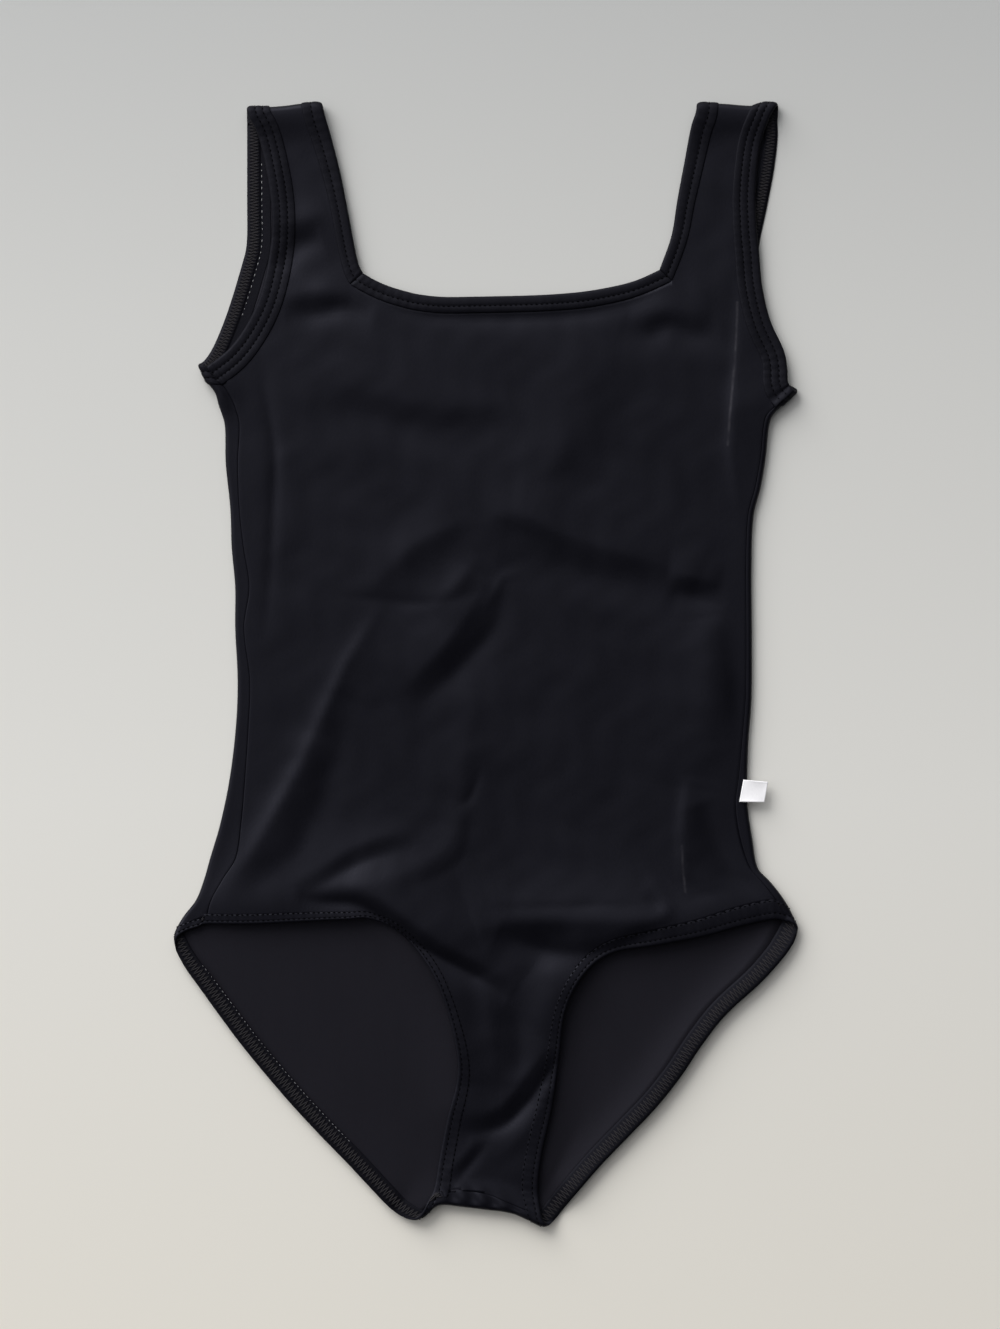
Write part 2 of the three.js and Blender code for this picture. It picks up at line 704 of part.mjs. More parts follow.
const onCrotchSeam = (x) => new THREE.Vector2(x, crotchSeam(x));
const onRightSeam = (y) => new THREE.Vector2(rightSeam(y), y);
const leadToCrotch = (list, { outer, inner }) => {
  lead([...list].reverse(), onCrotchSeam(outer), onCrotchSeam(inner));
};
leadToCrotch(edgeStations.legLeftFront, CROTCH_ENDS.left);
leadToCrotch(edgeStations.legRightFront, CROTCH_ENDS.right);
lead(edgeStations.legRightFront, onRightSeam(HIP_END.outer), onRightSeam(HIP_END.inner));
const neckCornerLeft = mitre(edgeStations.neckLeft[0], 1, edgeStations.neckFront[0], 1);
const neckCornerRight = mitre(lastOf(edgeStations.neckFront), -1, edgeStations.neckRight[0], 1);
meet([...edgeStations.armholeLeftBack].reverse(), edgeStations.armholeLeftFront[0], unrollLeft);
meet([...edgeStations.armholeRightBack].reverse(), edgeStations.armholeRightFront[0], unrollRight);
meet(edgeStations.legLeftBack, lastOf(edgeStations.legLeftFront), unrollCrotch);
meet(edgeStations.legRightBack, lastOf(edgeStations.legRightFront), unrollCrotch);
meet([...edgeStations.legLeftBack].reverse(), edgeStations.legLeftFront[0], unrollLeft);
meet([...edgeStations.legRightBack].reverse(), edgeStations.legRightFront[0], unrollRight);

// Lines in the pattern
function evenly(points, count) {
  const lengths = [0];
  for (let i = 1; i < points.length; i += 1) {
    lengths.push(lengths[i - 1] + points[i].distanceTo(points[i - 1]));
  }
  const total = lastOf(lengths);
  const result = [];
  let i = 1;
  for (let k = 0; k <= count; k += 1) {
    const wanted = (total * k) / count;
    while (i < points.length - 1 && lengths[i] < wanted) i += 1;
    const t = (wanted - lengths[i - 1]) / (lengths[i] - lengths[i - 1]);
    result.push(points[i - 1].clone().lerp(points[i], t));
  }
  return result;
}
const straight = (from, to, count) => evenly([from, to], count);
const reversed = (points) => [...points].reverse();
const nearY = (points, y) => {
  let best = 0;
  points.forEach((point, i) => {
    if (Math.abs(point.y - y) < Math.abs(points[best].y - y)) best = i;
  });
  return best;
};

// Steps of the panels' meshes, shared with the bindings beside them
const TORSO_ROWS = 22;
const FRONT = { strap: 5, neck: 18, leg: 7, strapRows: 9, endRows: 6, chestRows: 5, stripRows: 12 };
const BACK = { strap: 2, neck: 10, strapRows: 5, chestRows: 4, seatRows: 14 };

// Stations from one place in an edge to another, evenly spaced along its cut line
function run(all, from, to, steps) {
  const line = cutLine(all.slice(from, to + 1));
  const lengths = [0];
  for (let i = 1; i < line.length; i += 1) {
    lengths.push(lengths[i - 1] + line[i].distanceTo(line[i - 1]));
  }
  const picked = [all[from]];
  let i = 0;
  for (let k = 1; k < steps; k += 1) {
    while (lengths[i] < (lastOf(lengths) * k) / steps) i += 1;
    picked.push(all[from + i]);
  }
  return [...picked, all[to]];
}

// Distances round a fold, even in its roll and then to the seam
function foldSteps(total, radius) {
  const hasFlat = total > Math.PI * radius;
  const turn = hasFlat ? Math.PI * radius : (total * ROLL_STEPS) / (ROLL_STEPS + 1);
  return [...Array.from({ length: ROLL_STEPS + 1 }, (_, k) => (turn * k) / ROLL_STEPS), total];
}

// Stations round a fold, from its start on the surface to the seam
function foldRun(all, past, radius) {
  const start = all.findIndex((station) => past(cut(station)) > 0);
  const steps = foldSteps(past(cut(lastOf(all))), radius);
  const rest = all.slice(start);
  const picked = [];
  for (const step of steps.slice(0, -1)) {
    picked.push(rest.find((station) => past(cut(station)) >= step && !picked.includes(station)));
  }
  return { start, stations: [...picked, lastOf(all)] };
}
const pastLeftFold = ({ x, y }) => leftCentre(y) - x;
const pastRightFold = ({ x, y }) => x - rightCentre(y);
const pastCrotchFold = ({ x, y }) => crotchCentre(x) - y;

function frontArmhole(all, corner) {
  const line = cutLine(all);
  const root = nearY(line, corner.y - CHEST_DROP);
  const top = nearY(line, SHOULDER_CENTRE);
  return {
    chest: run(all, 0, root, FRONT.chestRows),
    strap: run(all, root, top, FRONT.strapRows),
    shoulder: run(all, top, all.length - 1, FRONT.endRows),
  };
}

// A neck edge from its corner up
function frontNeck(all) {
  const top = nearY(cutLine(all), SHOULDER_CENTRE);
  return {
    strap: run(all, 0, top, FRONT.strapRows),
    shoulder: run(all, top, all.length - 1, FRONT.endRows),
  };
}

function frontLeg(all, stripTop) {
  const turn = nearY(cutLine(all), stripTop);
  return {
    hip: run(all, 0, turn, FRONT.leg),
    strip: run(all, turn, all.length - 1, FRONT.stripRows),
  };
}

function backArmhole(all, past, radius) {
  const root = nearY(cutLine(all), BACK_STRAP_ROOT);
  const fold = foldRun(all, past, radius);
  return {
    strap: run(all, 0, root, BACK.strapRows),
    chest: run(all, root, fold.start, BACK.chestRows),
    fold: fold.stations,
  };
}

// A back leg edge from the crotch seam to the side seam
function backLeg(all, past, radius) {
  const half = Math.floor(all.length / 2);
  const bottom = foldRun([...all.slice(0, half)].reverse(), pastCrotchFold, CROTCH_ROLL);
  const side = foldRun(all.slice(half), past, radius);
  return {
    bottom: [...bottom.stations].reverse(),
    seat: run(all, half - 1 - bottom.start, half + side.start, BACK.seatRows),
    side: side.stations,
  };
}

function backNeck(all) {
  const line = cutLine(all);
  const half = Math.floor(all.length / 2);
  const left = nearY(line.slice(0, half), SCOOP_TOP);
  const right = half + nearY(line.slice(half), SCOOP_TOP);
  return {
    left: run(all, 0, left, BACK.strapRows),
    scoop: run(all, left, right, BACK.neck),
    right: run(all, right, all.length - 1, BACK.strapRows),
  };
}

const { armholeLeftFront, armholeLeftBack, armholeRightFront, armholeRightBack } = edgeStations;
const { neckLeft, neckFront, neckRight, neckBack } = edgeStations;
const { legLeftFront, legLeftBack, legRightFront, legRightBack } = edgeStations;
const edges = {
  armholeLeftFront: frontArmhole(armholeLeftFront, neckCornerLeft),
  armholeLeftBack: backArmhole(armholeLeftBack, pastLeftFold, LEFT_ROLL),
  armholeRightFront: frontArmhole(armholeRightFront, neckCornerRight),
  armholeRightBack: backArmhole(armholeRightBack, pastRightFold, RIGHT_ROLL),
  neckLeft: frontNeck(neckLeft),
  neckFront: { all: run(neckFront, 0, neckFront.length - 1, FRONT.neck) },
  neckRight: frontNeck(neckRight),
  neckBack: backNeck(neckBack),
  legLeftFront: frontLeg(legLeftFront, STRIP_TOP.left),
  legLeftBack: backLeg(legLeftBack, pastLeftFold, LEFT_ROLL),
  legRightFront: frontLeg(legRightFront, STRIP_TOP.right),
  legRightBack: backLeg(legRightBack, pastRightFold, RIGHT_ROLL),
};

// A seam between two corners, following its own line between them
function seamLine(from, to, count, name, line) {
  const other = name === 'x' ? 'y' : 'x';
  const points = [];
  for (let i = 0; i <= count; i += 1) {
    const t = i / count;
    const along = THREE.MathUtils.lerp(from[other], to[other], t);
    const offFrom = (from[name] - line(from[other])) * (1 - t) ** CORNER_POWER;
    const offTo = (to[name] - line(to[other])) * t ** CORNER_POWER;
    const across = line(along) + offFrom + offTo;
    points.push(name === 'x' ? new THREE.Vector2(across, along) : new THREE.Vector2(along, across));
  }
  return points;
}

// A four-sided patch filled from its sides, in rows from top to bottom
function filled(top, bottom, left, right) {
  const across = top.length - 1;
  const down = left.length - 1;
  return left.map((start, i) => top.map((head, j) => {
    const u = j / across;
    const v = i / down;
    const value = (name) => (1 - v) * head[name] + v * bottom[j][name]
      + (1 - u) * start[name] + u * right[i][name]
      - (1 - v) * ((1 - u) * top[0][name] + u * top[across][name])
      - v * ((1 - u) * bottom[0][name] + u * bottom[across][name]);
    return new THREE.Vector2(value('x'), value('y'));
  }));
}
const onto = (rows, lay) => rows.map((row) => row.map(({ x, y }) => lay(x, y)));

function frontPanel() {
  const armLeft = edges.armholeLeftFront;
  const armRight = edges.armholeRightFront;
  const width = 2 * FRONT.strap + FRONT.neck;
  const strip = width - 2 * FRONT.leg;
  const cloth = new Cloth();
  const add = (...sides) => cloth.patch(onto(filled(...sides), layFront));

  const strap = (arm, neck, corner, mirrored) => {
    const armStrap = cutLine(arm.strap);
    const neckStrap = [corner, ...cutLine(neck.strap).slice(1)];
    const armShoulder = cutLine(arm.shoulder);
    const neckShoulder = cutLine(neck.shoulder);
    const root = straight(armStrap[0], neckStrap[0], FRONT.strap);
    const fold = straight(lastOf(armStrap), lastOf(neckStrap), FRONT.strap);
    const end = straight(lastOf(armShoulder), lastOf(neckShoulder), FRONT.strap);
    for (const [top, bottom, outer, inner] of [
      [fold, root, armStrap, neckStrap],
      [end, fold, armShoulder, neckShoulder],
    ]) {
      if (mirrored) add(reversed(top), reversed(bottom), reversed(inner), reversed(outer));
      else add(top, bottom, reversed(outer), reversed(inner));
    }
    return root;
  };
  const rootLeft = strap(armLeft, edges.neckLeft, neckCornerLeft, false);
  const rootRight = strap(armRight, edges.neckRight, neckCornerRight, true);

  const neckline = cutLine(edges.neckFront.all).slice(1, -1);
  const chestTop = [...rootLeft, ...neckline, ...reversed(rootRight)];
  const underarm = straight(cut(armLeft.chest[0]), cut(armRight.chest[0]), width);
  add(chestTop, underarm, reversed(cutLine(armLeft.chest)), reversed(cutLine(armRight.chest)));

  const { legLeftFront: legLeft, legRightFront: legRight } = edges;
  const stripTop = straight(cut(legLeft.strip[0]), cut(legRight.strip[0]), strip);
  const hipRight = reversed(cutLine(legRight.hip));
  const hips = [...cutLine(legLeft.hip), ...stripTop.slice(1), ...hipRight.slice(1)];
  add(
    underarm,
    hips,
    seamLine(underarm[0], hips[0], TORSO_ROWS, 'x', leftSeam),
    seamLine(lastOf(underarm), lastOf(hips), TORSO_ROWS, 'x', rightSeam),
  );
  add(
    stripTop,
    seamLine(cut(lastOf(legLeft.strip)), cut(lastOf(legRight.strip)), strip, 'y', crotchSeam),
    cutLine(legLeft.strip),
    cutLine(legRight.strip),
  );
  return cloth.wall();
}

// Rows across a fold, from its start on the surface round to the seam on the front
function acrossFold(first, last, starts, ends, radius, past, place) {
  return starts.map((start, i) => {
    if (i === 0) return cutLine(first);
    if (i === starts.length - 1) return cutLine(last);
    const total = past(ends[i]);
    const [, ...steps] = foldSteps(total, radius);
    return [start, ...steps.map((step) => place(start.clone().lerp(ends[i], step / total), step))];
  });
}

function backPanel() {
  const { armholeLeftBack: armLeft, armholeRightBack: armRight, neckBack: neck } = edges;
  const { legLeftBack: legLeft, legRightBack: legRight } = edges;
  const width = 2 * BACK.strap + BACK.neck;
  const cloth = new Cloth();
  const add = (rows) => cloth.patch(onto(rows, layBack), true);

  const armLeftStrap = cutLine(armLeft.strap);
  const armRightStrap = cutLine(armRight.strap);
  const neckLeftLine = cutLine(neck.left);
  const neckRightLine = reversed(cutLine(neck.right));
  const rootLeft = straight(lastOf(armLeftStrap), lastOf(neckLeftLine), BACK.strap);
  const rootRight = straight(lastOf(neckRightLine), lastOf(armRightStrap), BACK.strap);
  const topLeft = straight(armLeftStrap[0], neckLeftLine[0], BACK.strap);
  const topRight = straight(neckRightLine[0], armRightStrap[0], BACK.strap);
  add(filled(topLeft, rootLeft, armLeftStrap, neckLeftLine));
  add(filled(topRight, rootRight, neckRightLine, armRightStrap));

  const scoop = cutLine(neck.scoop).slice(1, -1);
  const underarm = straight(cut(armLeft.fold[0]), cut(armRight.fold[0]), width);
  const chestTop = [...rootLeft, ...scoop, ...rootRight];
  add(filled(chestTop, underarm, cutLine(armLeft.chest), cutLine(armRight.chest)));

  const hips = straight(cut(legLeft.side[0]), cut(legRight.side[0]), width);
  const foldLeft = seamLine(underarm[0], hips[0], TORSO_ROWS, 'x', leftCentre);
  const foldRight = seamLine(lastOf(underarm), lastOf(hips), TORSO_ROWS, 'x', rightCentre);
  add(filled(underarm, hips, foldLeft, foldRight));

  const seam = (arm, leg, line, unroll) => seamLine(
    cut(arm.chest[0]), cut(leg.hip[0]), TORSO_ROWS, 'x', line,
  ).map((point) => unroll(point, SEAM_GAP));
  const seamLeft = seam(edges.armholeLeftFront, edges.legLeftFront, leftSeam, unrollLeft);
  const seamRight = seam(edges.armholeRightFront, edges.legRightFront, rightSeam, unrollRight);
  add(acrossFold(
    armLeft.fold, legLeft.side, foldLeft, seamLeft, LEFT_ROLL, pastLeftFold,
    ({ y }, step) => new THREE.Vector2(leftCentre(y) - step, y),
  ).map(reversed));
  add(acrossFold(
    armRight.fold, legRight.side, foldRight, seamRight, RIGHT_ROLL, pastRightFold,
    ({ y }, step) => new THREE.Vector2(rightCentre(y) + step, y),
  ));

  const seatLeft = reversed(cutLine(legLeft.seat));
  const seatRight = reversed(cutLine(legRight.seat));
  const foldBottom = seamLine(lastOf(seatLeft), lastOf(seatRight), width, 'y', crotchCentre);
  add(filled(hips, foldBottom, seatLeft, seatRight));
  const seamBottom = seamLine(
    cut(lastOf(edges.legLeftFront.strip)), cut(lastOf(edges.legRightFront.strip)), width, 'y', crotchSeam,
  ).map((point) => unrollCrotch(point, SEAM_GAP));
  const lip = acrossFold(
    reversed(legLeft.bottom), reversed(legRight.bottom),
    foldBottom, seamBottom, CROTCH_ROLL, pastCrotchFold,
    ({ x }, step) => new THREE.Vector2(x, crotchCentre(x) - step),
  );
  add(lip[0].map((_, i) => lip.map((row) => row[i])));
  return cloth.wall();
}

// The folded tab at the right side seam
const LABEL = { x: 143.6, y: -72.4, length: 16.6, height: 12.6, turn: -0.08, clear: 0.4 };
const LABEL_SHARES = [0.5, 0.17, -0.17, -0.5]; // its rows, across the seam
const LABEL_SECTION = [
  { along: 0, up: 0 },
  { along: 0.2, up: 0.5 },
  { along: 0.45, up: 0.7 },
  { along: 0.75, up: 0.2 },
  { along: 1, up: -0.6 },
];

function sideLabel() {
  const cloth = new Cloth();
  const root = frontHeight(LABEL.x, LABEL.y) + HALF + LABEL.clear + HALF;
  const rows = LABEL_SHARES.map((share) => LABEL_SECTION.map(({ along, up }) => {
    const reach = along * LABEL.length;
    const side = share * LABEL.height;
    return new THREE.Vector3(
      LABEL.x + reach * Math.cos(LABEL.turn) - side * Math.sin(LABEL.turn),
      LABEL.y + reach * Math.sin(LABEL.turn) + side * Math.cos(LABEL.turn),
      root + up,
    );
  }));
  cloth.patch(rows);
  return cloth.wall();
}

const cloth = new THREE.MeshStandardMaterial({ color: '#17171b', roughness: 0.62, metalness: 0 });
const elastic = new THREE.MeshStandardMaterial({ color: '#141417', roughness: 0.7, metalness: 0 });
const tape = new THREE.MeshStandardMaterial({ color: '#ece9ec', roughness: 0.6, metalness: 0 });

const leotard = new THREE.Group();
function piece(name, geometry, material) {
  const mesh = new THREE.Mesh(geometry, material);
  mesh.name = name;
  leotard.add(mesh);
}

piece('front_panel', frontPanel(), cloth);
piece('back_panel', backPanel(), cloth);
piece('neck_binding_front', binding(
  [edges.neckFront], NECK_SECTION, BINDING_UNDER, true, false,
), elastic);
piece('neck_binding_back', binding(
  [edges.neckLeft, edges.neckBack, turned(edges.neckRight)], NECK_SECTION, BINDING_UNDER, false, false,
), elastic);
piece('armhole_binding_left', binding(
  [edges.armholeLeftFront, edges.armholeLeftBack], ARMHOLE_SECTION, BINDING_UNDER, true, true,
), elastic);
piece('armhole_binding_right', binding(
  [edges.armholeRightFront, edges.armholeRightBack], ARMHOLE_SECTION, BINDING_UNDER, false, true,
), elastic);
piece('leg_hem_left', binding(
  [edges.legLeftFront, edges.legLeftBack], HEM_SECTION, HEM_UNDER, false, true,
), elastic);
piece('leg_hem_right', binding(
  [edges.legRightFront, edges.legRightBack], HEM_SECTION, HEM_UNDER, true, true,
), elastic);
piece('side_label', sideLabel(), tape);

export default leotard;
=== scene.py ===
"""A black tank leotard with a square neck, laid flat on its back and seen from straight above.

Every piece is drawn as a flat pattern in millimetres, laid ply by ply in the frame of the part,
and given its wall, its stitching and its own cloth. X runs to the right, Y to the shoulders, Z up.
"""
import json

import bpy
import numpy as np
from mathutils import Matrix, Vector

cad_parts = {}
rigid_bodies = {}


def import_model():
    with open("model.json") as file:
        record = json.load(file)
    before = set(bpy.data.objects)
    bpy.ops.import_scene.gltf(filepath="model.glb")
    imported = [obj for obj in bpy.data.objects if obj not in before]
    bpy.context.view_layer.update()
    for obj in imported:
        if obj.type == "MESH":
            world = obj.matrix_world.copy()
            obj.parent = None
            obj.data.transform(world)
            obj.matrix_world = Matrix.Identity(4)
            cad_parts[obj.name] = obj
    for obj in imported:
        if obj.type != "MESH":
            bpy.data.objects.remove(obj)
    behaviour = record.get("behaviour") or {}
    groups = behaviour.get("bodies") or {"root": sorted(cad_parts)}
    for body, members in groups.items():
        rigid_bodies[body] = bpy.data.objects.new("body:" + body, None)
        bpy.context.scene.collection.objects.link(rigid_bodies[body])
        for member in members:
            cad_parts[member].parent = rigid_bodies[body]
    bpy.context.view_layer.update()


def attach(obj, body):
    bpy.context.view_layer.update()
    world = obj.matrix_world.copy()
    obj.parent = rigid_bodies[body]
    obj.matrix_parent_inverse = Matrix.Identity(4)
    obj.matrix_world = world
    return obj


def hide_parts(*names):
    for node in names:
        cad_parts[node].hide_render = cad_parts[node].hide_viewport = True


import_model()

# Driving sizes of the cut, in millimetres
MM = 0.001
HALF = 0.5  # half of the space that one ply takes
WALL = 0.42  # half of the cloth itself
SEAM_GAP = 0.4  # between the edge of a binding and the cut line of its panel
LOOK_GAP = 0.04  # between two panels at a seam
TUCK = 1.6  # how far a panel reaches into its binding
PLY_SPACE = 2.5  # between the middles of the back and the front
LEFT_ROLL = 1.6  # radii of the folds
RIGHT_ROLL = 1.9
CROTCH_ROLL = 2.0
SHOULDER_ROLL = 3.0
FOLD_SLOPE = 14.0  # over which the front comes down from a fold
SHOULDER_Y = 318.6
UNDER_SHOULDER = 6.0  # run of the front on the surface behind the shoulder
SHOULDER_CENTRE = SHOULDER_Y - SHOULDER_ROLL
SHOULDER_END = SHOULDER_CENTRE + np.pi * SHOULDER_ROLL + UNDER_SHOULDER
BACK_TOP = SHOULDER_CENTRE - UNDER_SHOULDER - SEAM_GAP
MEET_SPACE = 0.8  # between the edges of front and back where they meet
LEAD_REACH = 24.0  # over which an edge is led to a corner
STRIP_TOP = {"left": -158.0, "right": -174.0}
BACK_STRAP_ROOT = 206.0
SCOOP_TOP = BACK_STRAP_ROOT - 8.0
CHEST_DROP = 6.0
CROTCH_ENDS = {"left": (-34.5, -24.2), "right": (31.4, 21.6)}
HIP_END = (-147.0, -135.0)
FINE_STEP = 0.4  # between the stations of an edge
WELD = 0.02
CORNER_POWER = 8  # how quickly a seam leaves its corners

# Side folds: y, outline, side seam
LEFT_SIDE = [
    (190, -174.0, -170.0), (168, -163.0, -158.6), (161, -159.9, -155.2), (154, -154.6, -150.2),
    (147, -152.6, -146.0), (136, -149.2, -142.4), (114, -148.6, -142.4), (88, -146.0, -141.0),
    (66, -145.2, -138.4), (43, -143.2, -135.0), (20, -143.2, -138.0), (-10, -141.8, -134.6),
    (-36, -142.8, -135.4), (-66, -146.4, -137.4), (-92, -151.8, -139.6), (-111, -157.4, -142.6),
    (-123, -160.8, -150.0), (-135, -165.4, -156.6), (-145, -173.0, -159.0), (-154, -177.4, -159.8),
    (-163, -177.6, -160.4), (-176, -184.0, -170.0),
]
RIGHT_SIDE = [
    (176, 192.0, 186.0), (154, 176.0, 171.4), (148, 170.0, 165.6), (141, 163.0, 158.8),
    (134, 160.8, 157.0), (118, 159.2, 155.8), (100, 156.2, 152.8), (84, 152.2, 148.8),
    (55, 151.0, 147.6), (15, 151.2, 147.8), (-20, 151.0, 147.4), (-45, 149.2, 145.4),
    (-65, 148.6, 143.6), (-81, 148.7, 141.8), (-100, 151.4, 144.6), (-117, 154.6, 150.4),
    (-124, 161.0, 156.4), (-130, 166.0, 161.4), (-137, 170.8, 166.4), (-144, 174.4, 170.2),
    (-151, 177.2, 172.8), (-159, 178.4, 173.6), (-172, 186.0, 180.0),
]
# Bottom fold: x, outline, crotch seam
CROTCH = [
    (-60, -306.0, -300.0), (-50, -313.8, -307.4), (-43, -316.6, -310.0), (-36, -315.2, -308.8),
    (-29, -309.4, -302.0), (-24, -308.2, -299.8), (-15, -309.2, -299.2), (2, -311.2, -302.4),
    (14, -313.0, -307.6), (24, -317.0, -311.6), (32, -320.4, -314.4), (38, -318.4, -312.8),
    (46, -312.0, -306.0), (56, -304.0, -298.0),
]
# How far the shoulder folds fall short of their line: x, distance
SHOULDER_DIPS = [
    (-140, 2.0), (-125, 2.6), (-114, 1.9), (-105, 0.7), (-92, 0.0), (90, 0.2), (106, 0.6),
    (118, 0.2), (136, 0.9), (151, 1.9), (158, 0.2), (170, 0.2),
]
STRAP_EDGES = (-136.4, -93.4, 119.6, 165.8)  # x of the corners of the straps on their folds
STRAP_CORNER = 1.5  # how far the corners are rounded off
CORNER_WIDTH = 1.7
CORNER_REACH = 5  # down the strap
DIP_REACH = 14

# Outer edges of the pattern: x, y, width of the binding or hem
ARMHOLE_LEFT_FRONT = [
    (-158.6, 168.8, 14.0), (-146.3, 179.0, 14.0), (-136.4, 192.7, 14.0), (-129.0, 208.7, 14.0),
    (-124.5, 227.3, 14.0), (-122.2, 245.8, 13.6), (-122.8, 263.1, 13.6), (-125.9, 282.9, 13.4),
    (-130.2, 301.5, 13.0), (-134.8, 312.0, 13.0), (-136.4, 321.0, 13.0), (-136.4, SHOULDER_END, 13.0),
]
ARMHOLE_LEFT_BACK = [
    (-136.4, BACK_TOP, 13.0), (-136.4, 290.0, 13.4), (-136.4, 264.0, 13.6), (-136.6, 240.0, 14.0),
    (-139.6, 226.0, 14.0), (-149.2, 195.5, 14.0), (-159.6, 173.6, 14.0), (-171.6, 167.4, 14.0),
]
ARMHOLE_RIGHT_FRONT = [
    (175.2, 155.0, 15.0), (171.6, 159.4, 14.4), (171.0, 168.0, 14.0), (169.0, 178.0, 14.0),
    (161.4, 195.0, 14.0), (156.9, 214.0, 14.0), (155.2, 233.0, 14.0), (153.6, 250.0, 13.6),
    (153.2, 268.0, 13.4), (155.6, 293.0, 13.0), (160.6, 309.0, 13.0), (165.8, 320.0, 13.0),
    (165.8, SHOULDER_END, 13.0),
]
ARMHOLE_RIGHT_BACK = [
    (165.8, BACK_TOP, 13.0), (165.8, 298.0, 13.4), (163.6, 280.0, 13.6), (159.4, 258.0, 14.0),
    (155.4, 238.0, 14.0), (154.4, 218.0, 14.0), (157.4, 196.0, 14.0), (164.4, 174.0, 14.0),
    (171.0, 160.4, 14.6), (184.2, 152.0, 15.0),
]
NECK_LEFT = [
    (-70.2, 221.7, 9.4), (-73.6, 230.0, 9.6), (-79.5, 260.6, 9.6), (-83.2, 279.1, 10.4),
    (-88.2, 298.9, 11.4), (-91.9, 312.0, 12.2), (-93.4, 322.0, 12.2), (-93.4, SHOULDER_END, 12.2),
]
NECK_RIGHT = [
    (98.4, 223.6, 9.0), (105.2, 243.0, 9.6), (108.6, 263.6, 10.4), (112.4, 284.0, 11.4),
    (116.2, 304.4, 12.4), (118.8, 313.0, 12.6), (119.6, 322.0, 12.6), (119.6, SHOULDER_END, 12.6),
]
NECK_FRONT = [
    (-70.2, 221.7, 9.4), (-63.0, 217.6, 9.4), (-55.0, 214.2, 9.4), (-46.5, 211.6, 9.4),
    (-37.9, 209.6, 9.4), (-24.0, 208.2, 9.4), (-4.0, 208.4, 9.4), (22.0, 209.0, 9.4),
    (39.0, 209.8, 9.4), (56.2, 211.4, 9.4), (73.2, 214.4, 9.2), (86.0, 218.0, 9.0), (98.4, 223.6, 9.0),
]
NECK_BACK = [
    (-93.4, BACK_TOP, 12.2), (-93.4, 298.0, 12.0), (-91.0, 282.0, 11.0), (-86.0, 255.0, 10.0),
    (-78.0, 225.0, 10.0), (-67.0, 203.0, 10.0), (-48.0, 188.0, 10.0), (-18.0, 177.0, 10.0),
    (14.0, 174.0, 10.0), (46.0, 177.0, 10.0), (76.0, 188.0, 10.0), (95.0, 203.0, 10.0),
    (106.0, 225.0, 10.0), (113.0, 255.0, 10.0), (117.6, 282.0, 11.0), (119.6, 298.0, 12.0),
    (119.6, BACK_TOP, 12.6),
]
LEG_LEFT_FRONT = [
    (-158.8, -148.6, 6.0), (-133.8, -148.5, 6.0), (-107.6, -147.2, 5.6), (-81.4, -145.9, 4.6),
    (-66.0, -145.6, 4.0), (-48.7, -153.8, 4.0), (-31.7, -174.7, 5.0), (-21.2, -202.2, 6.0),
    (-16.4, -232.0, 7.4), (-22.5, -259.8, 8.6), (-27.1, -283.3, 9.0), (-30.0, -299.0, 9.6),
    (-34.5, -307.0, 10.0),
]
LEG_LEFT_BACK = [
    (-37.0, -322.6, 10.0), (-50.2, -315.0, 10.0), (-61.8, -303.2, 10.2), (-77.8, -286.1, 10.2),
    (-94.4, -269.0, 10.2), (-110.3, -251.9, 10.2), (-125.1, -234.8, 10.2), (-139.1, -217.7, 10.2),
    (-151.9, -200.6, 10.2), (-164.2, -183.5, 9.8), (-170.4, -175.0, 9.2), (-175.4, -166.4, 8.6),
    (-179.0, -158.4, 7.8), (-184.0, -152.6, 6.8), (-190.6, -150.0, 6.0), (-197.2, -149.0, 6.0),
]
LEG_RIGHT_FRONT = [
    (172.0, -146.8, 12.0), (162.7, -146.0, 12.0), (143.9, -149.9, 11.6), (122.0, -155.7, 10.6),
    (97.0, -160.4, 9.6), (71.1, -165.1, 7.6), (55.2, -177.5, 6.6), (45.0, -197.8, 6.6),
    (41.3, -225.5, 8.0), (37.7, -251.6, 9.6), (31.9, -277.8, 10.0), (29.4, -298.0, 10.0),
    (32.0, -314.0, 10.0),
]
LEG_RIGHT_BACK = [
    (32.4, -328.6, 10.0), (41.0, -314.8, 10.0), (49.9, -303.2, 10.2), (64.6, -286.1, 10.2),
    (81.0, -269.0, 10.2), (97.2, -252.0, 10.2), (110.8, -234.8, 10.2), (122.6, -217.2, 10.2),
    (136.0, -200.2, 10.2), (154.2, -183.5, 10.4), (162.4, -175.0, 10.6), (169.8, -166.4, 11.0),
    (176.0, -157.6, 11.6), (184.0, -148.6, 12.0),
]

# Places where both plies stand off the surface: height, spread, path
LIFTS = [
    (1.5, 17, [(176, 156), (160, 143)]),
    (2, 13, [(-165, 168), (-154, 156)]),
    (5.5, 15, [(184, -160), (152, -186), (122, -217), (93, -256), (56, -300)]),
    (3, 14, [(-184, -158), (-154, -197), (-117, -243), (-60, -305)]),
    (2.6, 15, [(-46, -318), (-12, -310), (34, -322)]),
    (1.4, 15, [(-152, -137), (-112, -135), (-74, -136), (-50, -146), (-32, -168), (-18, -202),
               (-16, -250)]),
    (2.0, 15, [(160, -136), (120, -146), (74, -156), (50, -170), (36, -205), (32, -250), (28, -285)]),
]
